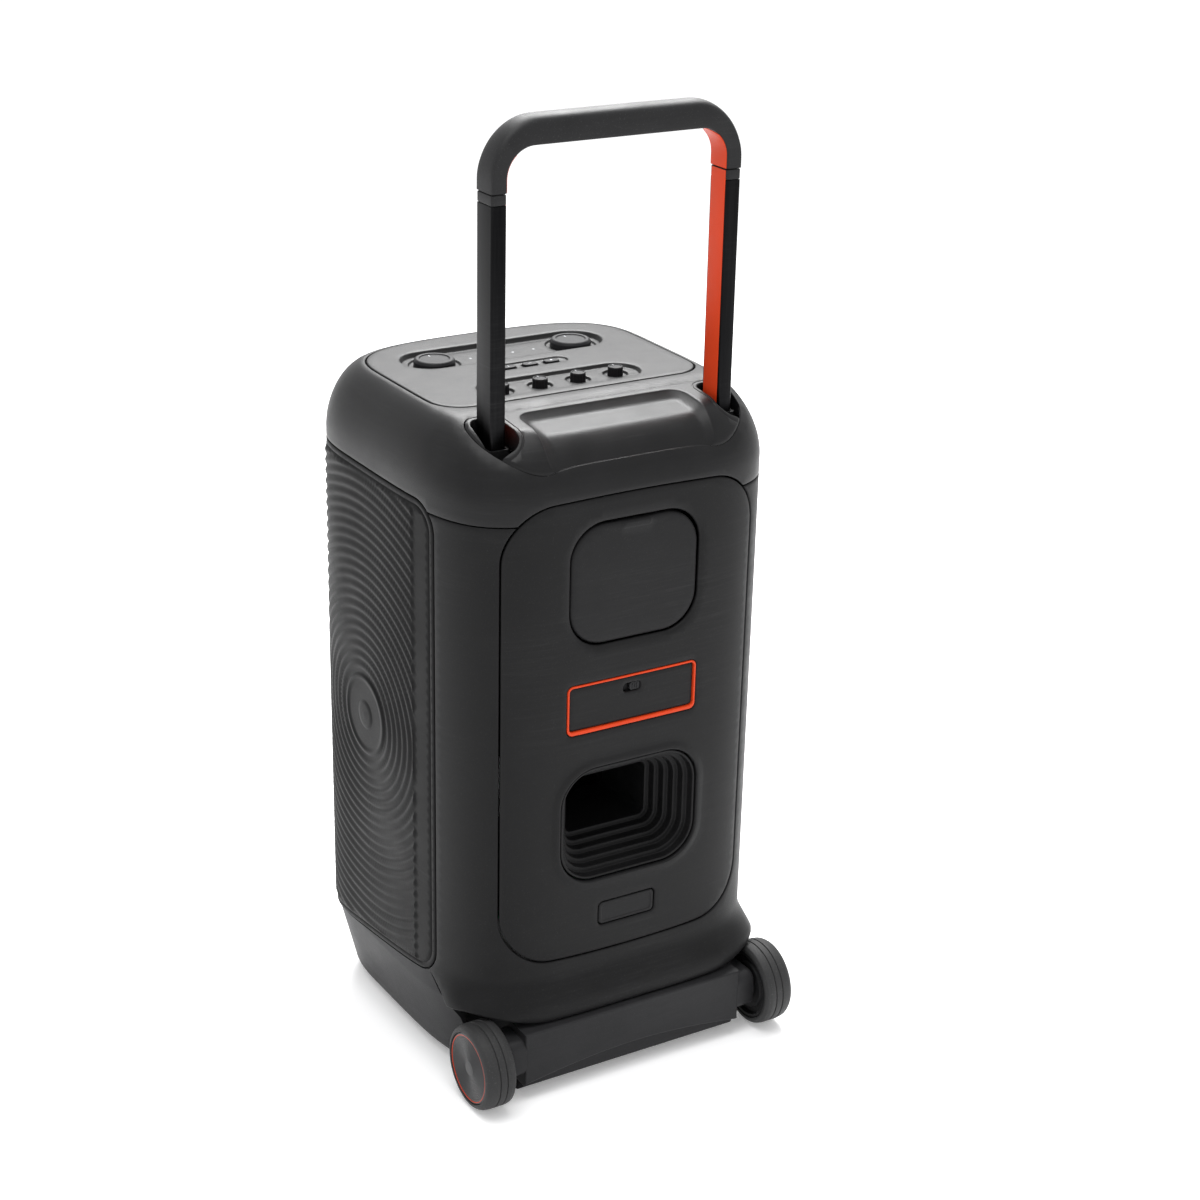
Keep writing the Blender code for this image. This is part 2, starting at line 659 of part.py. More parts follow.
def grip_stations():
    """Inner and outer points and crown height, from the left leg over the bar to the right."""
    inner_x, outer_x = TUBE_X - TUBE_HALF_X, TUBE_X + TUBE_HALF_X
    inner_r, outer_r = 0.026, 0.045
    crown_low, crown_high = 0.0004, GRIP_TOP_Z - BAR_HIGH_Z
    low = GRIP_JOINT_Z + GAP
    stations = [((inner_x, low), (outer_x, low), crown_low)]
    steps = 8
    inner_arc = arc((inner_x - inner_r, BAR_LOW_Z - inner_r), inner_r, 0, 90, steps)
    outer_arc = arc((outer_x - outer_r, BAR_HIGH_Z - outer_r), outer_r, 0, 90, steps)
    for i in range(steps + 1):
        share = i / steps
        crown = crown_low + (crown_high - crown_low) * share * share * (3 - 2 * share)
        stations.append((inner_arc[i], outer_arc[i], crown))
    mirrored = [((-a[0], a[1]), (-b[0], b[1]), crown) for a, b, crown in stations[::-1]]
    return stations + mirrored


def grip_section(inner, outer, crown):
    """A closed section: flat inner side with small rounds, crowned outer side."""
    inner, outer = Vector(inner), Vector(outer)
    across = (outer - inner).normalized()
    half, corner = TUBE_HALF_Y, 0.0012
    profile = [(corner, -half), (0.0, -half + corner), (0.0, half - corner), (corner, half)]
    depth = (outer - inner).length
    for i in range(9):
        angle = math.pi * i / 8
        profile.append((depth + crown * math.sin(angle), half * math.cos(angle)))
    ring = []
    for reach, y in profile:
        point = inner + across * reach
        ring.append((point.x, TUBE_Y + y, point.y))
    return ring


def build_grip():
    rings = [grip_section(*station) for station in grip_stations()]
    add_part("handle_grip", loft(rings), "grey_plastic", smooth=True)


# ---- wheels ----
def build_wheels():
    reach = WHEEL_OUTER_X - 0.008
    axle = cylinder(AXLE_RADIUS, (-reach, AXLE_Y, AXLE_Z), (reach, AXLE_Y, AXLE_Z), 20)
    add_part("axle_rod", axle, "steel", smooth=True)
    width, radius = WHEEL_WIDTH, WHEEL_RADIUS
    rim = 0.0330
    tyre = [(0.0350, 0.0), (0.0372, -0.0012), (0.0388, -0.0040), (radius, -0.0090), (radius, -width + 0.004),
            (radius - 0.0012, -width + 0.001), (radius - 0.003, -width), (rim, -width), (rim, 0.0)]
    wheel = [(rim - GAP, -0.0045), (rim - GAP, -width + 0.0010), (0.0270, -width + 0.0010),
             (0.0250, -width + 0.0050), (0.0120, -width + 0.0050), (0.0110, -width + 0.0002),
             (AXLE_RADIUS + 0.0003, -width + 0.0002), (AXLE_RADIUS + 0.0003, -0.0045)]
    cap = [(0.0, -0.0010), (0.0300, -0.0010), (0.0322, -0.0003), (rim - GAP, -0.0010),
           (rim - GAP, -0.0041), (0.0, -0.0041)]
    for name, side in (("left", 1), ("right", -1)):
        axis = "X" if side > 0 else "-X"
        place = (side * WHEEL_OUTER_X, AXLE_Y, AXLE_Z)
        turned(f"tyre_{name}", tyre, "rubber", 32, axis, place, closed=True)
        turned(f"wheel_{name}", wheel, "black_plastic", 28, axis, place, closed=True)
        turned(f"hub_cap_{name}", cap, "grey_plastic", 28, axis, place)


# ---- back: doors, battery, port and inlet ----
def build_io():
    io_outline = rounded_rect((-IO_HALF_X + 0.0010, IO_LOW_Z + 0.0010),
                              (IO_HALF_X - 0.0010, IO_HIGH_Z - 0.0022), 0.033, steps=6)
    door = add_part("io_door", prism(io_outline, "XZ", 0.1395, 0.1430), "rubber")
    boolean(door, box((-0.014, 0.1380, IO_HIGH_Z - 0.012), (0.014, 0.1412, IO_HIGH_Z)), "UNION")
    pocket = rounded_rect((-0.059, 0.430), (0.059, 0.529), 0.026, steps=4)
    outer = rounded_rect((-0.062, 0.427), (0.062, 0.532), 0.029, steps=4)
    panel = add_part("io_panel", prism(outer, "XZ", 0.1120, 0.1378), "black_plastic")
    boolean(panel, prism(pocket, "XZ", 0.1150, 0.1500))


def build_battery():
    wall = 0.0028
    low = (-BATTERY_HALF_X + GAP, BATTERY_LOW_Z + GAP)
    high = (BATTERY_HALF_X - GAP, BATTERY_HIGH_Z - GAP)
    frame = add_part("battery_frame", prism(rounded_rect(low, high, 0.0056, 3), "XZ", 0.1325, 0.1454), "orange")
    inside = (low[0] + wall, low[1] + wall), (high[0] - wall, high[1] - wall)
    boolean(frame, prism(rounded_rect(*inside, 0.0035, 3), "XZ", 0.120, 0.160))
    door_low = (inside[0][0] + GAP, inside[0][1] + GAP)
    door_high = (inside[1][0] - GAP, inside[1][1] - GAP)
    door = add_part("battery_door", prism(rounded_rect(door_low, door_high, 0.003, 3), "XZ", 0.1392, 0.1434),
                    "black_plastic")
    latch_z = 0.3772
    boolean(door, prism(centred_rect(0.0090, 0.0042, 0.0030, (0.0, latch_z), 3), "XZ", 0.130, 0.160))
    latch = centred_rect(0.0052, 0.0038, 0.0024, (-0.0034, latch_z), 3)
    add_part("battery_latch", prism(latch, "XZ", 0.1396, 0.1424), "grey_plastic")
    pack_low = Vector((door_low[0] + 0.001, -0.010, door_low[1] + 0.001))
    pack_high = Vector((door_high[0] - 0.001, 0.1388, door_high[1] - 0.001))
    add_part("battery_pack", box(pack_low, pack_high), "black_plastic")
    room = Vector((0.0006, 0.0006, 0.0006))
    skin = Vector((0.002, 0.002, 0.002))
    outer_low, outer_high = pack_low - room - skin, pack_high + room + skin
    outer_high.y = 0.1320
    bay = add_part("battery_bay", box(outer_low, outer_high), "black_plastic")
    inner_low, inner_high = pack_low - room, pack_high + room
    inner_high.y = 0.1500
    boolean(bay, box(inner_low, inner_high))


def port_ring(half_x, half_z, radius, y):
    return [(x, y, z) for x, z in centred_rect(half_x, half_z, radius, (0.0, PORT_Z), steps=5)]


def build_bass_port():
    """A bell mouth of flat steps that narrows to a straight duct."""
    mouth_y, step_depth, step_in, steps = 0.1436, 0.0080, 0.0052, 5
    half_x, half_z, radius = PORT_HALF_X - 0.0036, PORT_HALF_Z - 0.0036, 0.0320
    inner = []
    for i in range(steps):
        shrink = step_in * i
        size = (half_x - shrink, half_z - shrink, radius - shrink)
        inner.append(port_ring(*size, mouth_y - step_depth * i))
        inner.append(port_ring(*size, mouth_y - step_depth * (i + 1)))
    throat = (half_x - step_in * steps, half_z - step_in * steps, radius - step_in * steps)
    throat_y = mouth_y - step_depth * steps
    duct_y = 0.030
    inner.append(port_ring(*throat, throat_y))
    inner.append(port_ring(*throat, duct_y))
    wall = 0.0026
    outer = [port_ring(throat[0] + wall, throat[1] + wall, throat[2] + wall, duct_y),
             port_ring(throat[0] + wall, throat[1] + wall, throat[2] + wall, throat_y - wall),
             port_ring(half_x + wall, half_z + wall, radius + wall, throat_y + 2 * step_depth),
             port_ring(half_x + wall, half_z + wall, radius + wall, mouth_y)]
    add_part("bass_port", loft(inner + outer, cap=False), "black_plastic")


def build_inlet():
    low = (-INLET_HALF_X + 0.0006, INLET_LOW_Z + 0.0006)
    high = (INLET_HALF_X - 0.0006, INLET_HIGH_Z - 0.0006)
    add_part("inlet_door", prism(rounded_rect(low, high, 0.0044, 3), "XZ", 0.1408, 0.1444), "rubber")
    inlet = add_part("power_inlet", box((-0.0260, 0.1060, 0.1480), (0.0260, 0.1392, 0.1700)), "black_plastic")
    boolean(inlet, prism(centred_rect(0.0230, 0.0092, 0.003, (0.0, 0.1590), 2), "XZ", 0.1300, 0.1600))
    boolean(inlet, prism(centred_rect(0.0090, 0.0042, 0.004, (0.0, 0.1590), 3), "XZ", 0.1140, 0.1600))


# ---- front: baffle, drivers, lights and grille ----
def build_front():
    back_y = BAFFLE_FRONT_Y + BAFFLE_THICKNESS
    baffle = add_part("front_baffle", prism(rounded_rect((-0.139, 0.108), (0.139, 0.538), 0.015, 3),
                                            "XZ", BAFFLE_FRONT_Y, back_y), "wood")
    for z in WOOFER_HEIGHTS.values():
        boolean(baffle, cylinder(0.0735, (0.0, -0.170, z), (0.0, -0.120, z), 24))
    for side in (1, -1):
        boolean(baffle, cylinder(0.0192, (side * TWEETER_X, -0.170, TWEETER_Z),
                                 (side * TWEETER_X, -0.120, TWEETER_Z), 12))
    grille = add_part("front_grille", wall_mesh(0.0010, 0.0016, 0.080, 0.560), "grille_steel")
    boolean(grille, prism(grille_outline(0.0), "XZ", -0.250, -0.080), "INTERSECT")
    for level, z in WOOFER_HEIGHTS.items():
        build_woofer(level, z)
    for name, side in (("tweeter_left", 1), ("tweeter_right", -1)):
        profile = [(0.0, 0.0062), (0.0070, 0.0050), (0.0115, 0.0016), (0.0150, 0.0030), (0.0230, 0.0030),
                   (0.0230, GAP), (0.0180, GAP), (0.0180, -0.0240), (0.0, -0.0240)]
        turned(name, profile, "black_plastic", 16, "-Y", (side * TWEETER_X, BAFFLE_FRONT_Y, TWEETER_Z))


def build_woofer(level, z):
    place = (0.0, BAFFLE_FRONT_Y, z)
    frame = [(0.0765, 0.0050), (WOOFER_RADIUS, 0.0040), (WOOFER_RADIUS, GAP), (0.0725, GAP),
             (0.0690, -0.0180), (0.0480, -0.0620), (0.0180, -0.0620), (0.0180, -0.0590),
             (0.0455, -0.0590), (0.0705, 0.0010)]
    turned(f"woofer_frame_{level}", frame, "black_plastic", 24, "-Y", place, closed=True)
    cone = [(0.0, -0.0120), (0.0120, -0.0140), (0.0230, -0.0240), (0.0560, 0.0020), (0.0640, 0.0070),
            (0.0728, 0.0046), (0.0724, 0.0034), (0.0560, -0.0010), (0.0240, -0.0290), (0.0165, -0.0290),
            (0.0165, -0.0480), (0.0, -0.0480)]
    turned(f"woofer_cone_{level}", cone, "cone_paper", 24, "-Y", place)
    magnet = [(0.0160, -0.0625), (0.0470, -0.0625), (0.0470, -0.0870), (0.0160, -0.0870)]
    turned(f"woofer_magnet_{level}", magnet, "steel", 24, "-Y", place, closed=True)
    ring = [(0.0875, 0.0080), (0.0925, 0.0080), (0.0925, GAP), (0.0875, GAP)]
    turned(f"light_ring_{level}", ring, "diffuser", 32, "-Y", place, closed=True)


# ---- electronics ----
def build_electronics():
    board = add_part("amplifier_board", box((-0.060, 0.0950, 0.425), (0.060, 0.0966, 0.534)), "circuit")
    boolean(board, box((-0.045, 0.0700, 0.440), (0.045, 0.0952, 0.446)), "UNION")
    boolean(board, box((-0.045, 0.0700, 0.470), (0.045, 0.0952, 0.476)), "UNION")
    boolean(board, box((-0.045, 0.0700, 0.500), (0.045, 0.0952, 0.506)), "UNION")
    supply = add_part("power_supply", box((-0.070, 0.0250, 0.110), (0.070, 0.0950, 0.114)), "circuit")
    boolean(supply, box((-0.050, 0.0350, 0.1138), (0.010, 0.0850, 0.150)), "UNION")
    boolean(supply, cylinder(0.012, (0.040, 0.060, 0.1138), (0.040, 0.060, 0.145), 20), "UNION")
    add_part("control_board", box((-0.100, -0.120, 0.5990), (0.100, 0.030, 0.6006)), "circuit")


build_body_shell()
build_top_cap()
build_side_panels()
build_back_panel()
build_base_tray()
build_axle_block()
build_feet()
build_control_panel()
build_dials()
build_knobs()
build_keys()
build_handle_plate()
build_handle()
build_wheels()
build_io()
build_battery()
build_bass_port()
build_inlet()
build_front()
build_electronics()
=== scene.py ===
import json
import math

import bmesh
import bpy
import numpy as np
from mathutils import Matrix, Vector, geometry

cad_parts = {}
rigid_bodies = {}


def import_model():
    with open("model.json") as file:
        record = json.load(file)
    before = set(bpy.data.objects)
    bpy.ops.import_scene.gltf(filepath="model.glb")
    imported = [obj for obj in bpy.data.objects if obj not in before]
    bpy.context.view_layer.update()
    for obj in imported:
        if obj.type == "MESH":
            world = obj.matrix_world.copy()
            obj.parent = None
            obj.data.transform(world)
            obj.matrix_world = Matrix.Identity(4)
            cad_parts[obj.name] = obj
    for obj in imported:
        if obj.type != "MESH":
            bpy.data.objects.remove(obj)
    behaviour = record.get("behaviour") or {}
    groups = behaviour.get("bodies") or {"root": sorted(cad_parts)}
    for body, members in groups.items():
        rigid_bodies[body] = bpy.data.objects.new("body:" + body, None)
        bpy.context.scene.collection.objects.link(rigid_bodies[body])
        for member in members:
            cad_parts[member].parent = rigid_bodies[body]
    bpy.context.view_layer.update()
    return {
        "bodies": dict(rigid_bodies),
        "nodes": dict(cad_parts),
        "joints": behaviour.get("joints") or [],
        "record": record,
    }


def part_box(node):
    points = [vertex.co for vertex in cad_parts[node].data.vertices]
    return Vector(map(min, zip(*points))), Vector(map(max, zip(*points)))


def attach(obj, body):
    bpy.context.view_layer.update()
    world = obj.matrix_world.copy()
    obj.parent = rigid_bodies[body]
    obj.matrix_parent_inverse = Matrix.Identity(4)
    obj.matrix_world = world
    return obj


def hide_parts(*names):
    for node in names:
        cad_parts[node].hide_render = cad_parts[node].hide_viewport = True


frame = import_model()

# ---- the casing's driving sizes, in metres ----
HALF_WIDTH, REAR_Y, FRONT_Y, MID_Y = 0.1665, 0.1455, -0.1858, -0.0678
REAR_POWER, FRONT_POWER = 4.76, 3.31
TOP_Z, SHOULDER_Z, SEAM_Z = 0.621, 0.560, 0.5425
SHOULDER_INSET, SHOULDER_POWER = 0.034, 1.8
REAR_SLOPE_Y, REAR_SLOPE = 0.055, 0.09
SKIRT_Z, SKIRT_FLARE = 0.112, 0.014
TAPER, TAPER_Z = 0.0012, 0.50
WALL, SEAM = 0.003, 0.0004

TUBE_X, TUBE_Y = 0.1126, 0.0906
TUBE_HALF_X, TUBE_HALF_Y = 0.0072, 0.0131
AXLE_Y, AXLE_Z, WHEEL_OUTER_X, WHEEL_WIDTH = 0.1463, 0.0398, 0.164, 0.030
DIAL_X, DIAL_Y, KNOB_PITCH, KNOB_Y = 0.0708, -0.0905, 0.0386, 0.0100
KEY_PITCH, KEY_Y = 0.022, -0.042
RIDGE_CENTRE = (-0.046, 0.310)
BAFFLE_Y = -0.148
WOOFER_HEIGHTS = {"lower": 0.205, "upper": 0.392}


# ---- materials: effects that several finishes share ----
def new_group(name, inputs, outputs):
    """An empty shader group with float inputs and the named outputs."""
    tree = bpy.data.node_groups.new(name, "ShaderNodeTree")
    for socket, value in inputs.items():
        made = tree.interface.new_socket(socket, in_out="INPUT", socket_type="NodeSocketFloat")
        made.default_value = value
    for socket, kind in outputs.items():
        tree.interface.new_socket(socket, in_out="OUTPUT", socket_type=kind)
    return tree, tree.nodes.new("NodeGroupInput"), tree.nodes.new("NodeGroupOutput")


def add_math(tree, operation, first, second=None, third=None):
    node = tree.nodes.new("ShaderNodeMath")
    node.operation = operation
    for socket, value in zip(node.inputs, (first, second, third)):
        if value is None:
            continue
        if isinstance(value, (int, float)):
            socket.default_value = value
        else:
            tree.links.new(value, socket)
    return node.outputs[0]


def add_noise(tree, scale, detail=4.0, roughness=0.5, vector=None):
    node = tree.nodes.new("ShaderNodeTexNoise")
    node.inputs["Detail"].default_value = detail
    node.inputs["Roughness"].default_value = roughness
    if isinstance(scale, (int, float)):
        node.inputs["Scale"].default_value = scale
    else:
        tree.links.new(scale, node.inputs["Scale"])
    if vector is None:
        vector = tree.nodes.new("ShaderNodeTexCoord").outputs["Object"]
    tree.links.new(vector, node.inputs["Vector"])
    return node.outputs["Fac"]


def make_grain_group():
    """Spark-eroded mould grain: fine pebbles, a broad mottle and faint dust."""
    inputs = {"Grain scale": 2400.0, "Grain height": 1.0, "Mottle scale": 22.0, "Dust": 0.3}
    outputs = {"Height": "NodeSocketFloat", "Mottle": "NodeSocketFloat", "Dust": "NodeSocketFloat"}
    tree, entry, leave = new_group("mould_grain", inputs, outputs)
    pebbles = tree.nodes.new("ShaderNodeTexVoronoi")
    pebbles.feature = "SMOOTH_F1"
    place = tree.nodes.new("ShaderNodeTexCoord").outputs["Object"]
    tree.links.new(place, pebbles.inputs["Vector"])
    tree.links.new(entry.outputs["Grain scale"], pebbles.inputs["Scale"])
    fine = add_noise(tree, entry.outputs["Grain scale"], 3.0)
    relief = add_math(tree, "ADD", pebbles.outputs["Distance"], fine)
    height = add_math(tree, "MULTIPLY", relief, entry.outputs["Grain height"])
    mottle = add_noise(tree, entry.outputs["Mottle scale"], 6.0, 0.65)
    specks = add_noise(tree, 900.0, 2.0)
    cloud = add_noise(tree, 9.0, 5.0)
    dusty = add_math(tree, "MULTIPLY", add_math(tree, "GREATER_THAN", specks, 0.66), cloud)
    tree.links.new(height, leave.inputs["Height"])
    tree.links.new(mottle, leave.inputs["Mottle"])
    tree.links.new(add_math(tree, "MULTIPLY", dusty, entry.outputs["Dust"]), leave.inputs["Dust"])
    return tree


def make_scuff_group():
    """Hairline handling marks that run one way, in scattered patches."""
    inputs = {"Length": 14.0, "Count": 1.0, "Strength": 0.5}
    tree, entry, leave = new_group("hairline_scuffs", inputs, {"Scuff": "NodeSocketFloat"})
    stretch = tree.nodes.new("ShaderNodeMapping")
    stretch.inputs["Scale"].default_value = (1.0, 1.0, 24.0)
    stretch.inputs["Rotation"].default_value = (0.25, 0.4, 0.1)
    place = tree.nodes.new("ShaderNodeTexCoord").outputs["Object"]
    tree.links.new(place, stretch.inputs["Vector"])
    lines = add_noise(tree, entry.outputs["Length"], 8.0, 0.8, stretch.outputs["Vector"])
    sharp = add_math(tree, "POWER", lines, 7.0)
    patch = add_noise(tree, 11.0, 2.0)
    patch = add_math(tree, "MULTIPLY", add_math(tree, "SUBTRACT", patch, 0.42), entry.outputs["Count"])
    patch = add_math(tree, "MAXIMUM", patch, 0.0)
    marks = add_math(tree, "MULTIPLY", add_math(tree, "MULTIPLY", sharp, patch), 40.0)
    marks = add_math(tree, "MINIMUM", marks, 1.0)
    tree.links.new(add_math(tree, "MULTIPLY", marks, entry.outputs["Strength"]), leave.inputs["Scuff"])
    return tree


GRAIN = make_grain_group()
SCUFFS = make_scuff_group()


def add_group(tree, group, values):
    node = tree.nodes.new("ShaderNodeGroup")
    node.node_tree = group
    for name, value in values.items():
        node.inputs[name].default_value = value
    return node


def blend_colours(tree, share, first, second):
    """Mix two colours; each is a colour value or a socket."""
    node = tree.nodes.new("ShaderNodeMix")
    node.data_type = "RGBA"
    tree.links.new(share, node.inputs[0])
    for socket, value in ((node.inputs[6], first), (node.inputs[7], second)):
        if isinstance(value, tuple):
            socket.default_value = (*value, 1.0)
        else:
            tree.links.new(value, socket)
    return node.outputs[2]


NOISE_LOW, NOISE_HIGH = 0.3, 0.7


def spread(tree, value, low, high):
    """Map a noise value, which seldom leaves its middle range, to the range from LOW to HIGH."""
    node = tree.nodes.new("ShaderNodeMapRange")
    node.inputs["From Min"].default_value = NOISE_LOW
    node.inputs["From Max"].default_value = NOISE_HIGH
    node.inputs["To Min"].default_value = low
    node.inputs["To Max"].default_value = high
    tree.links.new(value, node.inputs["Value"])
    return node.outputs["Result"]


def moulded(name, colour, rough, grain=2400.0, depth=0.00004, metal=0.0, dust=0.25, scuff=0.4,
            lift=1.35, sheen=0.0, shine=0.14):
    """A moulded or coated finish: grain, mottled colour and gloss, dust and handling marks."""
    finish = bpy.data.materials.new(name)
    finish.use_nodes = True
    tree = finish.node_tree
    shader = tree.nodes["Principled BSDF"]
    grains = add_group(tree, GRAIN, {"Grain scale": grain, "Dust": dust})
    marks = add_group(tree, SCUFFS, {"Strength": scuff})
    light = tuple(min(channel * lift, 1.0) for channel in colour)
    mottle = spread(tree, grains.outputs["Mottle"], 0.0, 1.0)
    base = blend_colours(tree, mottle, colour, light)
    pale = tuple(0.6 * channel + 0.10 for channel in colour)
    base = blend_colours(tree, grains.outputs["Dust"], base, pale)
    base = blend_colours(tree, add_math(tree, "MULTIPLY", marks.outputs["Scuff"], 0.35), base, pale)
    tree.links.new(base, shader.inputs["Base Color"])
    gloss = spread(tree, grains.outputs["Mottle"], rough - 0.05, rough + 0.05)
    gloss = add_math(tree, "SUBTRACT", gloss, add_math(tree, "MULTIPLY", marks.outputs["Scuff"], 0.10))
    tree.links.new(gloss, shader.inputs["Roughness"])
    bump = tree.nodes.new("ShaderNodeBump")
    bump.inputs["Strength"].default_value = 1.0
    bump.inputs["Distance"].default_value = depth
    tree.links.new(grains.outputs["Height"], bump.inputs["Height"])
    tree.links.new(bump.outputs["Normal"], shader.inputs["Normal"])
    shader.inputs["Metallic"].default_value = metal
    shader.inputs["Sheen Weight"].default_value = sheen
    shader.inputs["Specular IOR Level"].default_value = shine
    return finish


def brushed(name, colour, rough, stretch):
    """Drawn or turned metal: fine lines that run along one axis."""
    finish = bpy.data.materials.new(name)
    finish.use_nodes = True
    tree = finish.node_tree
    shader = tree.nodes["Principled BSDF"]
    mapping = tree.nodes.new("ShaderNodeMapping")
    mapping.inputs["Scale"].default_value = stretch
    tree.links.new(tree.nodes.new("ShaderNodeTexCoord").outputs["Object"], mapping.inputs["Vector"])
    lines = add_noise(tree, 60.0, 6.0, 0.7, mapping.outputs["Vector"])
    marks = add_group(tree, SCUFFS, {"Strength": 0.7, "Length": 22.0})
    light = tuple(min(channel * 1.5 + 0.01, 1.0) for channel in colour)
    base = blend_colours(tree, spread(tree, lines, 0.0, 1.0), colour, light)
    base = blend_colours(tree, add_math(tree, "MULTIPLY", marks.outputs["Scuff"], 0.4), base,
                         tuple(min(channel * 2.0 + 0.08, 1.0) for channel in colour))
    tree.links.new(base, shader.inputs["Base Color"])
    tree.links.new(spread(tree, lines, rough - 0.06, rough + 0.08), shader.inputs["Roughness"])
    bump = tree.nodes.new("ShaderNodeBump")
    bump.inputs["Distance"].default_value = 0.00002
    tree.links.new(lines, bump.inputs["Height"])
    tree.links.new(bump.outputs["Normal"], shader.inputs["Normal"])
    shader.inputs["Metallic"].default_value = 1.0
    return finish


def printed_board(name):
    """Green solder mask with a grid of lighter tracks."""
    finish = moulded(name, (0.015, 0.12, 0.05), 0.35, depth=0.00001)
    tree = finish.node_tree
    shader = tree.nodes["Principled BSDF"]
    tracks = tree.nodes.new("ShaderNodeTexBrick")
    tracks.inputs["Scale"].default_value = 90.0
    tracks.inputs["Mortar Size"].default_value = 0.03
    tree.links.new(tree.nodes.new("ShaderNodeTexCoord").outputs["Object"], tracks.inputs["Vector"])
    under = shader.inputs["Base Color"].links[0].from_socket
    tree.links.new(blend_colours(tree, tracks.outputs["Fac"], under, (0.05, 0.24, 0.10)),
                   shader.inputs["Base Color"])
    return finish


def black_and_shaded_fibreboard(name):
    """Pressed wood fibre in near-black: partly black paint, partly painted shade for the dark inside of the
    cabinet seen through the grille holes and the bass port.
    """
    return moulded(name, (0.012, 0.011, 0.010), 0.75, grain=700.0, depth=0.00012, lift=1.5)


FINISH = {
    "shell": moulded("black_moulding", (0.0055, 0.0055, 0.0058), 0.46, dust=0.12),
    "cap": moulded("satin_charcoal", (0.0055, 0.0055, 0.0059), 0.40, grain=2800.0, depth=0.00004, dust=0.06,
                   shine=0.20),
    "side_rubber": moulded("ridged_side_rubber", (0.0050, 0.0050, 0.0052), 0.50, grain=1900.0, depth=0.00006,
                           dust=0.06, shine=0.10),
    "base": moulded("dark_grey_moulding", (0.014, 0.014, 0.015), 0.50, dust=0.12, shine=0.16),
    "foot_rubber": moulded("foot_rubber", (0.007, 0.007, 0.0075), 0.75, dust=0.8, scuff=0.8),
    # the baffle's near-black is partly painted shade, standing in for the dark inside of the cabinet seen
    # through the grille and the port
    "baffle_wood": black_and_shaded_fibreboard("baffle_fibreboard"),
    "grille": moulded("powder_coat_black", (0.007, 0.007, 0.0075), 0.45, grain=3600.0, metal=0.15),
    "diffuser": moulded("milky_diffuser", (0.62, 0.64, 0.67), 0.30, dust=0.1, scuff=0.1, lift=1.08),
    "driver_frame": moulded("driver_frame_black", (0.008, 0.008, 0.0085), 0.42),
    "cone": moulded("pressed_fibre_cone", (0.022, 0.021, 0.020), 0.72, grain=900.0, depth=0.00015, sheen=0.3),
    "magnet": brushed("zinc_plated_steel", (0.42, 0.43, 0.45), 0.34, (1.0, 22.0, 1.0)),
    "door_rubber": moulded("soft_door_rubber", (0.0085, 0.0085, 0.009), 0.50, grain=2100.0, depth=0.00005,
                           dust=0.12),
    "orange_trim": moulded("satin_orange", (0.56, 0.045, 0.009), 0.42, dust=0.08, scuff=0.3, lift=1.10),
    "battery_case": moulded("battery_case_black", (0.009, 0.009, 0.0095), 0.5),
    "inner_plastic": moulded("plain_black_inside", (0.006, 0.006, 0.0063), 0.6),
    "circuit": printed_board("circuit_board"),
    "tube": brushed("black_anodised_tube", (0.0045, 0.0045, 0.005), 0.38, (1.0, 1.0, 0.04)),
    "grip": moulded("soft_touch_grip", (0.009, 0.009, 0.0096), 0.50, grain=2600.0, shine=0.22),
    "knob": moulded("satin_knob", (0.010, 0.010, 0.011), 0.42, grain=3000.0, depth=0.00002, dust=0.06,
                    shine=0.12),
    "key": moulded("satin_key", (0.008, 0.008, 0.009), 0.44, grain=3000.0, depth=0.00002, dust=0.06,
                   shine=0.12),
    "axle": brushed("turned_axle_steel", (0.45, 0.46, 0.48), 0.30, (0.04, 1.0, 1.0)),
    "wheel": moulded("wheel_black", (0.008, 0.008, 0.0085), 0.45, dust=0.25),
    "tyre": moulded("tyre_rubber", (0.012, 0.012, 0.0124), 0.62, grain=1500.0, depth=0.00008,
                    dust=0.5, scuff=0.9, shine=0.4),
    "hub_cap": moulded("hub_cap_grey", (0.014, 0.014, 0.015), 0.40, dust=0.25, shine=0.5),
}
PRINT = moulded("pale_print", (0.50, 0.51, 0.53), 0.5, dust=0.05, scuff=0.1, lift=1.05)
LENS = moulded("smoked_lens", (0.20, 0.21, 0.22), 0.20, dust=0.05, scuff=0.1)


# ---- pieces ----
def smooth_mesh(mesh, angle=32.0):
    mesh.shade_smooth()
    mesh.set_sharp_from_angle(angle=math.radians(angle))


def to_mesh(name, points, faces, angle=32.0):
    """A welded mesh with its faces turned outwards."""
    mesh = bpy.data.meshes.new(name)
    mesh.from_pydata([tuple(p) for p in points], [], faces)
    shape = bmesh.new()
    shape.from_mesh(mesh)
    bmesh.ops.remove_doubles(shape, verts=shape.verts, dist=1e-6)
    loose = [vertex for vertex in shape.verts if not vertex.link_faces]
    bmesh.ops.delete(shape, geom=loose, context="VERTS")
    bmesh.ops.recalc_face_normals(shape, faces=shape.faces)
    if shape.calc_volume(signed=True) < 0:
        bmesh.ops.reverse_faces(shape, faces=shape.faces)
    shape.to_mesh(mesh)
    shape.free()
    smooth_mesh(mesh, angle)
    return mesh


def place_piece(name, mesh, body, slot, stands_for=(), finish=None):
    """Link a finished mesh as a piece that rides on BODY."""
    piece = bpy.data.objects.new(name, mesh)
    bpy.context.scene.collection.objects.link(piece)
    mesh.materials.clear()
    mesh.materials.append(finish or FINISH[slot])
    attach(piece, body)
    if stands_for:
        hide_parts(*stands_for)
    return piece


# ---- outlines ----
def arc(centre, radius, start, end, steps):
    """Points on an arc, angles in degrees, both ends included."""
    angles = [math.radians(start + (end - start) * i / steps) for i in range(steps + 1)]
    return [(centre[0] + radius * math.cos(a), centre[1] + radius * math.sin(a)) for a in angles]


def line(start, end, step=0.004):
    """Points from START up to but without END."""
    count = max(1, round(math.dist(start, end) / step))
    return [(start[0] + (end[0] - start[0]) * i / count, start[1] + (end[1] - start[1]) * i / count)
            for i in range(count)]


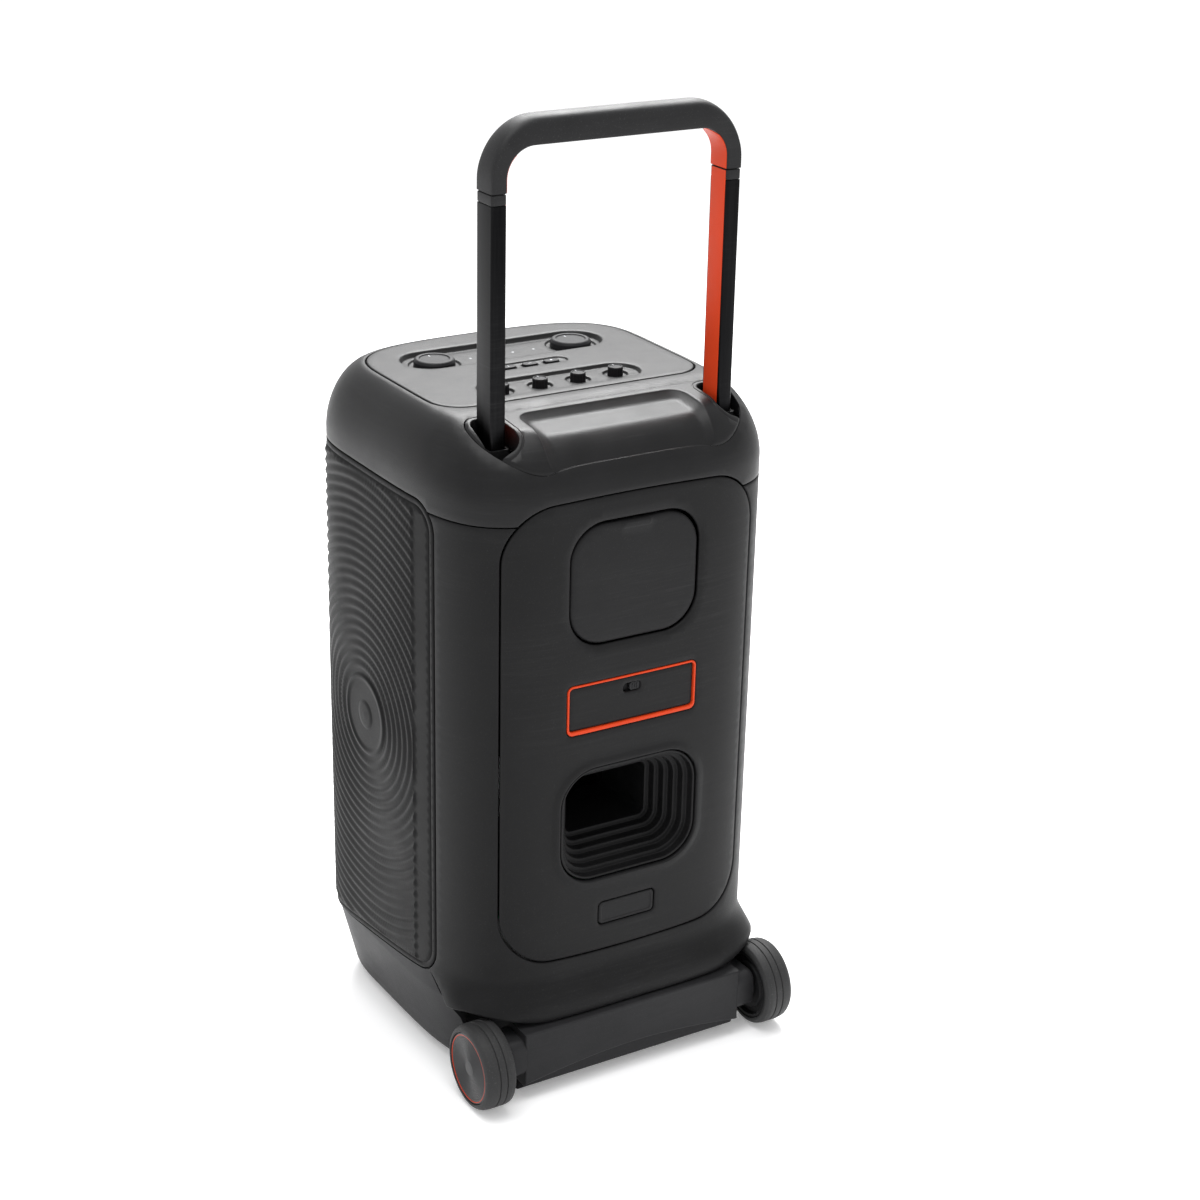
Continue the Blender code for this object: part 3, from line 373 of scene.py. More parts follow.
def densify(outline, step=0.004):
    """The same closed outline with no stretch longer than STEP."""
    points = []
    for start, end in zip(outline, outline[1:] + outline[:1]):
        points += line(start, end, step)
    return points


def rounded_rect(low, high, radius, steps=10):
    """A rectangle from corner LOW to corner HIGH with round corners, anticlockwise."""
    left, right = low[0] + radius, high[0] - radius
    bottom, top = low[1] + radius, high[1] - radius
    outline = arc((right, bottom), radius, -90, 0, steps)
    outline += arc((right, top), radius, 0, 90, steps)
    outline += arc((left, top), radius, 90, 180, steps)
    outline += arc((left, bottom), radius, 180, 270, steps)
    return outline


def centred_rect(half_x, half_y, radius, centre=(0.0, 0.0), steps=10):
    low = (centre[0] - half_x, centre[1] - half_y)
    high = (centre[0] + half_x, centre[1] + half_y)
    return rounded_rect(low, high, radius, steps)


def circle(centre, radius, steps=48):
    return arc(centre, radius, 0, 360 - 360 / steps, steps - 1)


def shift(outline, distance):
    """An anticlockwise outline drawn in by DISTANCE, or let out where it is negative."""
    points = np.asarray(outline, float)
    before = points - np.roll(points, 1, axis=0)
    after = np.roll(points, -1, axis=0) - points
    before /= np.maximum(np.linalg.norm(before, axis=1), 1e-9)[:, None]
    after /= np.maximum(np.linalg.norm(after, axis=1), 1e-9)[:, None]
    inward = np.stack((-before[:, 1] - after[:, 1], before[:, 0] + after[:, 0]), axis=1)
    size = np.maximum(np.linalg.norm(inward, axis=1), 1e-6)
    inward /= size[:, None]
    return points + inward * (distance * np.minimum(2.0 / size, 1.6))[:, None]


CHUNK = 4000


def inside_depth(points, outline):
    """Distance from each point to an outline: positive inside it, negative outside."""
    points = np.asarray(points, float)
    start = np.asarray(outline, float)
    run = np.roll(start, -1, axis=0) - start
    length = np.maximum((run ** 2).sum(1), 1e-18)
    result = np.empty(len(points))
    for first in range(0, len(points), CHUNK):
        chunk = points[first:first + CHUNK, None, :]
        share = np.clip(((chunk - start) * run).sum(2) / length, 0.0, 1.0)
        gap = chunk - start - share[:, :, None] * run
        nearest = np.sqrt((gap ** 2).sum(2).min(1))
        above = (start[:, 1] > chunk[:, :, 1]) != (start[:, 1] + run[:, 1] > chunk[:, :, 1])
        rise = np.where(np.abs(run[:, 1]) < 1e-12, 1e-12, run[:, 1])
        crossing = start[:, 0] + (chunk[:, :, 1] - start[:, 1]) / rise * run[:, 0]
        odd = (above & (chunk[:, :, 0] < crossing)).sum(1) % 2 == 1
        result[first:first + CHUNK] = np.where(odd, nearest, -nearest)
    return result


# ---- relief: a closed panel of any outline, with rounded edges, holes and sunk shapes ----
EDGE_SHARES = (0.0, 0.12, 0.42, 1.0)


def triangulate(points, edges, keep):
    """Triangles over the points that hold all the edges and whose middles pass KEEP."""
    found = geometry.delaunay_2d_cdt([Vector(p) for p in points], edges, [], 0, 1e-7)
    spots = np.array([tuple(spot) for spot in found[0]])
    faces = np.array([face for face in found[2] if len(face) == 3])
    faces = faces[keep(spots[faces].mean(axis=1))]
    return spots, faces, found[3]


def lattice_points(low, high, step):
    """A triangular lattice over a rectangle."""
    rows = np.arange(low[1], high[1], step * 0.866)
    points = []
    for number, row in enumerate(rows):
        start = low[0] + (step / 2 if number % 2 else 0.0)
        points += [(across, row) for across in np.arange(start, high[0], step)]
    return np.array(points)


def edge_drop(depth, edge):
    """How far a rounded edge has fallen at a distance in from it."""
    share = 1 - np.clip(depth / edge, 0.0, 1.0)
    return edge * (1 - np.sqrt(1 - share ** 2))


REAR_STEP = 0.020


def relief(name, outline, place, step=0.004, edge=0.0010, depth=WALL, holes=(), dips=(), lattice=None,
           marks=None):
    """A closed panel over OUTLINE.

    PLACE turns panel points and a fall into places in the room. A dip is an outline with a
    profile of (distance in, fall). MARKS, where given, is a function that works out a value
    for each front point, which is kept as the attribute called ridge.
    """
    loops = [np.asarray(outline, float)] + [np.asarray(hole, float) for hole in holes]
    rings = []
    for number, loop in enumerate(loops):
        inward = 1 if number == 0 else -1
        rings += [(loop, inward * share * edge) for share in EDGE_SHARES]
    for shape, profile in dips:
        rings += [(np.asarray(shape, float), distance) for distance, _ in profile]
    points, edges = [], []
    for shape, distance in rings:
        first = len(points)
        points += list(shift(shape, distance))
        count = len(points) - first
        edges += [(first + i, first + (i + 1) % count) for i in range(count)]

    def is_solid(spots):
        solid = inside_depth(spots, loops[0]) > 0
        for hole in loops[1:]:
            solid &= inside_depth(spots, hole) < 0
        return solid

    free = lattice if lattice is not None else lattice_points(loops[0].min(0), loops[0].max(0), step)
    wanted = is_solid(free)
    shapes = {}
    for shape, distance in rings:
        shapes.setdefault(shape.tobytes(), (shape, []))[1].append(distance)
    for shape, distances in shapes.values():
        reach = inside_depth(free, shape)
        for distance in distances:
            wanted &= np.abs(reach - distance) > 0.45 * step
    points += list(free[wanted])

    spots, faces, _ = triangulate(points, edges, is_solid)
    margin = inside_depth(spots, loops[0])
    for hole in loops[1:]:
        margin = np.minimum(margin, -inside_depth(spots, hole))
    fall = edge_drop(margin, edge)
    for shape, profile in dips:
        distances, falls = zip(*profile)
        fall = fall + np.interp(inside_depth(spots, shape), distances, falls)
    front = place(spots, fall)

    links = np.concatenate([faces[:, [0, 1]], faces[:, [1, 2]], faces[:, [2, 0]]])
    key = np.sort(links, axis=1)
    _, where, uses = np.unique(key, axis=0, return_index=True, return_counts=True)
    rim = links[where[uses == 1]]
    corners = sorted(set(rim.flatten().tolist()))
    number = {corner: i for i, corner in enumerate(corners)}
    coarse = lattice_points(loops[0].min(0), loops[0].max(0), REAR_STEP)
    room = inside_depth(coarse, loops[0])
    for hole in loops[1:]:
        room = np.minimum(room, -inside_depth(coarse, hole))
    coarse = coarse[room > 0.5 * REAR_STEP]
    rear_points = list(spots[corners]) + list(coarse)
    rear_edges = [(number[a], number[b]) for a, b in rim.tolist()]
    rear_spots, rear_faces, sources = triangulate(rear_points, rear_edges, is_solid)
    new_place = {source: i for i, group in enumerate(sources) for source in group}
    rear = place(rear_spots, np.full(len(rear_spots), depth))

    base = len(front)
    walls = []
    for a, b in rim.tolist():
        walls.append((b, a, base + new_place[number[a]], base + new_place[number[b]]))
    solid = [tuple(face) for face in faces.tolist()]
    solid += [tuple(base + corner for corner in face[::-1]) for face in rear_faces.tolist()]
    everything = np.concatenate([front, rear])
    mesh = bpy.data.meshes.new(name)
    mesh.from_pydata([tuple(p) for p in everything], [], solid + walls)
    if marks is not None:
        values = np.concatenate([marks(spots, margin), np.zeros(len(rear))])
        mesh.attributes.new("ridge", "FLOAT", "POINT").data.foreach_set("value", values.astype(np.float32))
    shape = bmesh.new()
    shape.from_mesh(mesh)
    bmesh.ops.delete(shape, geom=[v for v in shape.verts if not v.link_faces], context="VERTS")
    bmesh.ops.remove_doubles(shape, verts=shape.verts, dist=2e-7)
    bmesh.ops.recalc_face_normals(shape, faces=shape.faces)
    if shape.calc_volume(signed=True) < 0:
        bmesh.ops.reverse_faces(shape, faces=shape.faces)
    shape.to_mesh(mesh)
    shape.free()
    smooth_mesh(mesh, 40.0)
    return mesh


# ---- the casing's surface ----
def partner(value, power):
    return (1 - value ** power) ** (1 / power)


WALK_STEPS = 500


def walk_plan():
    """Unit places round the left half of the plan, from the rear middle to the front middle."""
    rear, front = 2 ** (-1 / REAR_POWER), 2 ** (-1 / FRONT_POWER)
    out = np.linspace(0.0, rear, WALK_STEPS)
    down = np.linspace(rear, 0.0, WALK_STEPS)[1:]
    on = np.linspace(0.0, front, WALK_STEPS)[1:]
    back = np.linspace(front, 0.0, WALK_STEPS)[1:]
    across = np.concatenate([out, partner(down, REAR_POWER), partner(on, FRONT_POWER), back])
    along = np.concatenate([partner(out, REAR_POWER), down, -on, -partner(back, FRONT_POWER)])
    return across, along


ACROSS, ALONG = walk_plan()


def plan_reach(along):
    return np.where(along >= 0, REAR_Y - MID_Y, MID_Y - FRONT_Y)


STEPS_X = np.diff(ACROSS * HALF_WIDTH)
STEPS_Y = np.diff(ALONG * plan_reach(ALONG - 1e-9))
WALK = np.concatenate([[0.0], np.cumsum(np.hypot(STEPS_X, STEPS_Y))])
HALF_WALK = WALK[-1]
BEARING = np.arctan2(ACROSS, ALONG)


def rear_walk(x):
    """The walk from the rear middle to the casing's rear wall at X."""
    count = 2 * WALK_STEPS - 1
    return np.sign(x) * np.interp(np.abs(x), (ACROSS * HALF_WIDTH)[:count], WALK[:count])


def side_walk(y):
    """The walk from the rear middle to the casing's left wall at Y."""
    table_y = MID_Y + ALONG * plan_reach(ALONG)
    return np.interp(-np.asarray(y, float), -table_y, WALK)


def shoulder_profile():
    """Inset and height along the roof's profile, with the distance up it from the floor."""
    turn = np.linspace(0.0, math.pi / 2, 200)
    rise = np.sin(turn) ** (2 / SHOULDER_POWER)
    inset = SHOULDER_INSET * (1 - np.cos(turn) ** (2 / SHOULDER_POWER))
    height = SHOULDER_Z + (TOP_Z - SHOULDER_Z) * rise
    inset = np.concatenate([[0.0], inset, [0.150]])
    height = np.concatenate([[0.0], height, [TOP_Z]])
    length = np.concatenate([[0.0], np.cumsum(np.hypot(np.diff(inset), np.diff(height)))])
    return length, inset, height


PROFILE, PROFILE_INSET, PROFILE_Z = shoulder_profile()


def smooth_step(value):
    value = np.clip(value, 0.0, 1.0)
    return value * value * (3 - 2 * value)


def skirt_flare(z, y):
    """How far the skirt stands out: only at the back, growing downwards."""
    height, start_y, run = 0.034, 0.060, 0.060
    return SKIRT_FLARE * smooth_step((SKIRT_Z - z) / height) * smooth_step((y - start_y) / run)


def casing_point(walk, up):
    across = np.sign(walk) * np.interp(np.abs(walk), WALK, ACROSS)
    along = np.interp(np.abs(walk), WALK, ALONG)
    inset = np.interp(up, PROFILE, PROFILE_INSET)
    height = np.interp(up, PROFILE, PROFILE_Z)
    inset = inset + TAPER * np.clip((TAPER_Z - height) / TAPER_Z, 0.0, 1.0)
    reach = plan_reach(along)
    y = MID_Y + along * (reach - inset)
    inset = inset - skirt_flare(height, y)
    x = across * (HALF_WIDTH - inset)
    y = MID_Y + along * (reach - inset)
    rise = np.clip((height - SHOULDER_Z) / (TOP_Z - SHOULDER_Z), 0.0, 1.0)
    height = height - REAR_SLOPE * np.maximum(0.0, y - REAR_SLOPE_Y) * rise
    return np.stack((x, y, height), axis=1)


def casing(spots, fall):
    """Places on the casing for points of (walk round it, distance up it), sunk by FALL."""
    walk, up = spots[:, 0], spots[:, 1]
    reach = 0.0008
    round_it = casing_point(walk + reach, up) - casing_point(walk - reach, up)
    up_it = casing_point(walk, up + reach) - casing_point(walk, up - reach)
    outward = np.cross(up_it, round_it)
    outward /= np.maximum(np.linalg.norm(outward, axis=1), 1e-12)[:, None]
    return casing_point(walk, up) - outward * np.asarray(fall)[:, None]


# ---- casing panels ----
def as_walk(outline):
    """A back outline in x and height, as casing points."""
    return [(float(rear_walk(x)), z) for x, z in outline]


def back_outline(grow):
    """The back panel's outline in x and z; its upper and lower edges bow gently."""
    half, low, high, bow = 0.1257, 0.1218, 0.5600, 0.005
    middle = (low + high) / 2
    outline = rounded_rect((-half - grow, low - grow), (half + grow, high + grow), 0.047, steps=16)
    outline = densify(outline)
    return [(x, z + math.copysign(bow * (x / half) ** 2, middle - z)) for x, z in outline]


def side_outline(grow):
    """The ridged side panel's outline in y and z; its lower edge falls towards the front."""
    front, rear, radius = -0.1535 - grow, 0.0775 + grow, 0.027 + grow
    top, low_rear, low_front = 0.550 + grow, 0.096 - grow, 0.074 - grow
    slope = math.degrees(math.atan2(low_rear - low_front, rear - front))
    outline = arc((rear - radius, low_rear + radius), radius, slope - 90, 0, 14)
    outline += arc((rear - radius, top - radius), radius, 0, 90, 14)
    outline += arc((front + 0.012, top - 0.012), 0.012, 90, 180, 8)
    outline += arc((front + 0.012, low_front + 0.012), 0.012, 180, 270 + slope, 8)
    return densify(outline)


def side_as_walk(outline):
    """A left side outline in y and height, as casing points, turned anticlockwise."""
    return [(float(side_walk(y)), z) for y, z in outline][::-1]


IO_OUTLINE = densify(rounded_rect((-0.065, 0.4235), (0.065, 0.5370), 0.034, 16))
BATTERY_OUTLINE = densify(rounded_rect((-0.0662, 0.3428), (0.0662, 0.3904), 0.006, 6))
PORT_OUTLINE = densify(centred_rect(0.071, 0.056, 0.035, (0.0, 0.252), 16))
INLET_OUTLINE = densify(rounded_rect((-0.030, 0.1472), (0.030, 0.1708), 0.005, 6))


def make_back_panel():
    """The rear panel, with a soft lip round the port and a lowered border."""
    openings = [as_walk(outline) for outline in (IO_OUTLINE, BATTERY_OUTLINE, PORT_OUTLINE, INLET_OUTLINE)]
    lip = as_walk(densify(centred_rect(0.0800, 0.0650, 0.044, (0.0, 0.252), 16)))
    swell = [(0.0, 0.0), (0.0020, -0.0003), (0.0045, -0.0011), (0.0070, -0.0014)]
    io_border = as_walk(densify(rounded_rect((-0.0685, 0.4200), (0.0685, 0.5405), 0.0375, 16)))
    groove = [(0.0, 0.0), (0.0012, 0.0006), (0.0030, 0.0009)]
    mesh = relief("back_panel_skin", as_walk(back_outline(-0.0002)), casing, step=0.006, edge=0.0016,
                  depth=0.0034, holes=openings, dips=[(lip, swell), (io_border, groove)])
    place_piece("rear_panel", mesh, "cabinet", "shell", ["back_panel"])


RIDGE_PITCH, RIDGE_HEIGHT, RIDGE_END_Y = 0.0094, 0.0016, 0.0480


def ridge_lattice():
    """Panel points that follow the ridges, so that each crest is crisp."""
    points = []
    centre_y, centre_z = RIDGE_CENTRE
    for radius in np.arange(0.0400, 0.300, RIDGE_PITCH / 8):
        count = int(math.tau * radius / 0.0046)
        turns = np.arange(count) / count * math.tau
        across, up = centre_y + radius * np.cos(turns), centre_z + radius * np.sin(turns)
        points.append(np.stack((across, up), axis=1))
    around = np.concatenate(points)
    return around[around[:, 0] < RIDGE_END_Y - 0.0015]


def make_ridge_tree():
    """Geometry nodes that raise rings round a centre wherever the attribute ridge is set."""
    tree = bpy.data.node_groups.new("raise_ridges", "GeometryNodeTree")
    sockets = {"Geometry": "NodeSocketGeometry", "Centre": "NodeSocketVector", "Pitch": "NodeSocketFloat",
               "Height": "NodeSocketFloat", "Finish": "NodeSocketMaterial"}
    for name, kind in sockets.items():
        tree.interface.new_socket(name, in_out="INPUT", socket_type=kind)
    tree.interface.new_socket("Geometry", in_out="OUTPUT", socket_type="NodeSocketGeometry")
    entry, leave = tree.nodes.new("NodeGroupInput"), tree.nodes.new("NodeGroupOutput")
    away = vector_math(tree, "SUBTRACT", tree.nodes.new("GeometryNodeInputPosition").outputs[0],
                       entry.outputs["Centre"])
    flat = vector_math(tree, "MULTIPLY", away, (0.0, 1.0, 1.0))
    length = tree.nodes.new("ShaderNodeVectorMath")
    length.operation = "LENGTH"
    tree.links.new(flat, length.inputs[0])
    turns = add_math(tree, "DIVIDE", length.outputs["Value"], entry.outputs["Pitch"])
    wave = add_math(tree, "COSINE", add_math(tree, "MULTIPLY", turns, math.tau))
    crest = add_math(tree, "MULTIPLY_ADD", wave, 0.5, 0.5)
    crest = add_math(tree, "POWER", crest, 0.8)
    field = tree.nodes.new("GeometryNodeInputNamedAttribute")
    field.data_type = "FLOAT"
    field.inputs["Name"].default_value = "ridge"
    amount = add_math(tree, "MULTIPLY", crest, field.outputs["Attribute"])
    amount = add_math(tree, "MULTIPLY", amount, entry.outputs["Height"])
    scale = tree.nodes.new("ShaderNodeVectorMath")
    scale.operation = "SCALE"
    tree.links.new(tree.nodes.new("GeometryNodeInputNormal").outputs[0], scale.inputs[0])
    tree.links.new(amount, scale.inputs["Scale"])
    move = tree.nodes.new("GeometryNodeSetPosition")
    tree.links.new(entry.outputs["Geometry"], move.inputs["Geometry"])
    tree.links.new(scale.outputs["Vector"], move.inputs["Offset"])
    end_tree(tree, move.outputs["Geometry"], entry, leave)
    return tree


def vector_math(tree, operation, first, second):
    node = tree.nodes.new("ShaderNodeVectorMath")
    node.operation = operation
    for socket, value in zip(node.inputs, (first, second)):
        if isinstance(value, tuple):
            socket.default_value = value
        else:
            tree.links.new(value, socket)
    return node.outputs[0]


def end_tree(tree, geometry_socket, entry, leave):
    """Every tree ends in plain geometry with its finish set."""
    realise = tree.nodes.new("GeometryNodeRealizeInstances")
    finish = tree.nodes.new("GeometryNodeSetMaterial")
    tree.links.new(geometry_socket, realise.inputs["Geometry"])
    tree.links.new(realise.outputs["Geometry"], finish.inputs["Geometry"])
    tree.links.new(entry.outputs["Finish"], finish.inputs["Material"])
    tree.links.new(finish.outputs["Geometry"], leave.inputs["Geometry"])


def run_tree(tree, mesh, values, name):
    """The plain mesh that a tree makes from MESH with the named input values."""
    holder = bpy.data.objects.new(name, mesh)
    bpy.context.scene.collection.objects.link(holder)
    nodes = holder.modifiers.new(name, "NODES")
    nodes.node_group = tree
    for item in tree.interface.items_tree:
        if item.item_type == "SOCKET" and item.in_out == "INPUT" and item.name in values:
            nodes[item.identifier] = values[item.name]
    graph = bpy.context.evaluated_depsgraph_get()
    made = bpy.data.meshes.new_from_object(holder.evaluated_get(graph))
    holder.modifiers.remove(nodes)
    bpy.data.objects.remove(holder)
    made.name = name
    return made


def ridge_amount(spots, margin):
    """Full on the ridged field, fading out at its straight rear end, its border and the boss."""
    y, z = MID_Y + walk_along(spots[:, 0]), spots[:, 1]
    radius = np.hypot(y - RIDGE_CENTRE[0], z - RIDGE_CENTRE[1])
    field = smooth_step((RIDGE_END_Y - y) / 0.0012)
    field *= smooth_step((margin - 0.0070) / 0.0012)
    return field * smooth_step((radius - 0.0420) / 0.0010)


def walk_along(walk):
    along = np.interp(np.abs(walk), WALK, ALONG)
    return along * plan_reach(along)


def make_side_panels():
    """The ridged rubber sides, each with a double border line and a plain round boss."""
    tree = make_ridge_tree()
    outline = side_outline(-0.0002)
    border = side_outline(-0.0052)
    groove = [(-0.0006, 0.0), (0.0, 0.0008), (0.0006, 0.0008), (0.0012, 0.0)]
    boss = circle(RIDGE_CENTRE, 0.0385, 72)
    step_up = [(-0.0008, 0.0), (0.0, -0.0006), (0.0009, -0.0016), (0.0040, -0.0016), (0.0050, -0.0007),
               (0.0250, -0.0004), (0.0262, -0.0011), (0.0380, -0.0018)]
    plain = lattice_points((RIDGE_END_Y + 0.0022, 0.07), (0.080, 0.56), 0.006)
    ends = [[(RIDGE_END_Y - gap, z) for z in np.arange(0.10, 0.545, 0.0023)] for gap in (0.0, 0.0012)]
    free = np.concatenate([ridge_lattice(), plain, *[np.array(end) for end in ends]])
    from_centre = np.hypot(free[:, 0] - RIDGE_CENTRE[0], free[:, 1] - RIDGE_CENTRE[1])
    free = free[from_centre > 0.0398]
    free = np.concatenate([free, boss_lattice()])
    lattice = np.stack((side_walk(free[:, 0]), free[:, 1]), axis=1)
    mesh = relief("side_skin", side_as_walk(outline), casing, step=0.0014, edge=0.0014, depth=0.0030,
                  dips=[(side_as_walk(border), groove), (side_as_walk(boss), step_up)], lattice=lattice,
                  marks=ridge_amount)
    for name, side in (("left", 1), ("right", -1)):
        copy = mesh.copy()
        if side < 0:
            copy.transform(Matrix.Scale(-1.0, 4, (1.0, 0.0, 0.0)))
            copy.flip_normals()
        centre = (0.0, *RIDGE_CENTRE)
        values = {"Centre": centre, "Pitch": RIDGE_PITCH, "Height": RIDGE_HEIGHT,
                  "Finish": FINISH["side_rubber"]}
        ridged = run_tree(tree, copy, values, f"ridged_side_{name}")
        smooth_mesh(ridged, 60.0)
        place_piece(f"ridged_side_{name}", ridged, "cabinet", "side_rubber", [f"side_panel_{name}"])


def boss_lattice():
    """Rings of points over the round boss."""
    points = []
    for radius in np.arange(0.003, 0.038, 0.0030):
        count = max(6, int(math.tau * radius / 0.004))
        turns = np.arange(count) / count * math.tau
        points.append(np.stack((RIDGE_CENTRE[0] + radius * np.cos(turns),
                                RIDGE_CENTRE[1] + radius * np.sin(turns)), axis=1))
    return np.concatenate(points)


def skirt_edge():
    """The skirt's lower edge, from the rear middle out to the left corner, in x and height."""
    flat_z, arch_z, start_x, end_x = 0.0705, 0.0845, 0.080, 0.1500
    shares = [i / 16 for i in range(17)]
    rise = [(start_x + (end_x - start_x) * share, flat_z + (arch_z - flat_z) * float(smooth_step(share)))
            for share in shares]
    return line((0.0, flat_z), (start_x, flat_z), 0.006) + rise


def below_level(points, level):
    """A rising chain of points, cut off where it reaches LEVEL."""
    kept = [p for p in points if p[1] < level]
    last, beyond = kept[-1], points[len(kept)]
    share = (level - last[1]) / (beyond[1] - last[1])
    return kept + [(last[0] + (beyond[0] - last[0]) * share, level)]


def make_body_shell():
    """The corner posts and the skirt below the back panel, moulded as one piece."""
    gap = SEAM + 0.0004
    seam_z = SEAM_Z - 0.0004
    corner_z = 0.0985
    side = [(float(side_walk(y)), z) for y, z in side_outline(gap) if y > 0.052 and z > corner_z]
    upright = below_level(sorted(side, key=lambda p: p[1]), seam_z)
    low = [(float(rear_walk(x)), z) for x, z in skirt_edge() if x < 0.1490]
    low += [(float(side_walk(y)), z) for y, z in ((0.0960, 0.0800), (0.0870, 0.0880), (0.0700, corner_z))]
    middle_z = 0.341
    back = [(float(rear_walk(x)), z) for x, z in back_outline(gap) if x >= 0]
    back.sort(key=lambda p: math.atan2(p[1] - middle_z, p[0]))
    inner = below_level(back[:len([p for p in back if p[1] < seam_z]) + 1], seam_z)[::-1]
    left = low[1:] + upright + inner
    outline = [low[0]] + left + [(-x, z) for x, z in left[::-1] if x > 1e-6]
    outline = densify([tuple(p) for p in outline], 0.005)
    mesh = relief("body_skin", outline, casing, step=0.007, edge=0.0014, depth=0.0030)
    place_piece("body_skin", mesh, "cabinet", "shell", ["body_shell"])


make_back_panel()
make_side_panels()
make_body_shell()


# ---- roof: cap, control panel and handle plate ----
def inset_of(x, y):
    """How far each place lies inside the plan, in plan insets."""
    low, high = np.zeros(len(x)), np.full(len(x), 0.1175)
    rear = y >= MID_Y
    power = np.where(rear, REAR_POWER, FRONT_POWER)
    reach = np.where(rear, REAR_Y - MID_Y, MID_Y - FRONT_Y)
    for _ in range(40):
        middle = (low + high) / 2
        size = (np.abs(x) / (HALF_WIDTH - middle)) ** power + (np.abs(y - MID_Y) / (reach - middle)) ** power
        outside = size > 1
        high = np.where(outside, middle, high)
        low = np.where(outside, low, middle)
    return (low + high) / 2


def roof_height(x, y):
    inset = inset_of(x, y)
    height = np.interp(inset, PROFILE_INSET, PROFILE_Z)
    rise = np.clip((height - SHOULDER_Z) / (TOP_Z - SHOULDER_Z), 0.0, 1.0)
    return height - REAR_SLOPE * np.maximum(0.0, y - REAR_SLOPE_Y) * rise


def level_roof(spots, fall):
    """Places on the flat control panel, sunk straight down by FALL."""
    return np.stack((spots[:, 0], spots[:, 1], TOP_Z + 0.0001 - np.asarray(fall)), axis=1)


def as_casing(x, y):
    """Casing points (walk, distance up) for places on the roof."""
    x, y = np.asarray(x, float), np.asarray(y, float)
    inset = inset_of(x, y)
    reach = np.where(y >= MID_Y, REAR_Y - MID_Y, MID_Y - FRONT_Y)
    bearing = np.arctan2(np.abs(x) / (HALF_WIDTH - inset), (y - MID_Y) / (reach - inset))
    walk = np.sign(x) * np.interp(bearing, BEARING, WALK)
    up = np.interp(inset, PROFILE_INSET[1:], PROFILE[1:])
    return list(zip(walk.tolist(), up.tolist()))


CONTROL_INSET = 0.0335
CONTROL_REAR_Y = 0.0457


def control_outline(grow):
    """The control panel seen from above: it follows the plan, with a straight rear edge."""
    inset = CONTROL_INSET - grow
    walks = np.linspace(0.0, HALF_WALK, 220)
    x = np.interp(walks, WALK, ACROSS) * (HALF_WIDTH - inset)
    along = np.interp(walks, WALK, ALONG)
    y = MID_Y + along * (plan_reach(along) - inset)
    rear, radius = CONTROL_REAR_Y + grow, 0.030 + grow
    side_x = float(np.interp(-(rear - radius), -y, x))
    side = [(px, py) for px, py in zip(x.tolist(), y.tolist()) if py < rear - radius - 0.001 and px > 0]
    corner = arc((side_x - radius, rear - radius), radius, 0, 90, 12)
    right = side[::-1] + corner
    return densify(right + [(-px, py) for px, py in right[::-1]], 0.004)


def plate_outline(grow):
    """The handle plate seen from above: straight in front, following the plan behind."""
    half, front, rear = 0.131 + grow, 0.067 - grow, 0.138 + grow
    right = arc((half - 0.016, front + 0.016), 0.016, -90, 0, 8)
    right += arc((half - 0.052, rear - 0.052), 0.052, 0, 90, 16)
    return densify(right + [(-x, y) for x, y in right[::-1]], 0.004)


def make_top_cap():
    """The cap: up over the shoulder from the seam, with the controls and the plate let into it."""
    seam_z = SEAM_Z + 0.0004
    gap = SEAM + 0.0004
    post_x, front_z, grille_z = 0.1170, 0.5400, 0.5528
    back = [(float(rear_walk(x)), z) for x, z in back_outline(gap) if x >= 0 and z > seam_z]
    back.sort(key=lambda p: p[0])
    side = [(float(side_walk(y)), z) for y, z in side_outline(gap) if z > seam_z]
    side.sort(key=lambda p: p[0])
    half = back + [(float(rear_walk(post_x)), seam_z), (side[0][0] - 0.0012, seam_z)] + side
    grille_walk = float(side_walk(-0.1560))
    half = [p for p in half if p[0] < grille_walk - 0.001]
    half += [(grille_walk, front_z), (grille_walk + 0.002, 0.5480), (grille_walk + 0.009, grille_z)]
    half += [(walk, grille_z) for walk in np.linspace(grille_walk + 0.014, HALF_WALK, 30).tolist()]
    lower = [(-walk, up) for walk, up in half[::-1] if walk > 1e-6] + half

    rim = as_casing(*np.array(control_outline(0.0008)).T)
    rim = sorted([(walk, up) for walk, up in rim], key=lambda p: p[0])
    upper = [(HALF_WALK, rim[-1][1])] + rim[::-1] + [(-HALF_WALK, rim[0][1])]
    outline = densify([tuple(p) for p in lower + upper], 0.005)
    plate = as_casing(*np.array(plate_outline(0.0009)).T)
    mesh = relief("cap_skin", outline, casing, step=0.006, edge=0.0013, depth=0.0030, holes=[plate])
    place_piece("top_cap_skin", mesh, "cabinet", "cap", ["top_cap"])


SOFT_STEP = ((-0.0010, 0.0), (-0.0004, 0.08), (0.0, 0.30), (0.0006, 0.85), (0.0012, 1.0))
KNOB_PLACES = [KNOB_PITCH * (i - 1.5) for i in range(4)]
KEY_PLACES = [KEY_PITCH * i for i in (-1, 0, 1)]


def sunk(depth, width=1.0):
    """A dip's profile: a rounded brim, a steep wall and a small floor round."""
    return [(distance * width, share * depth) for distance, share in SOFT_STEP]


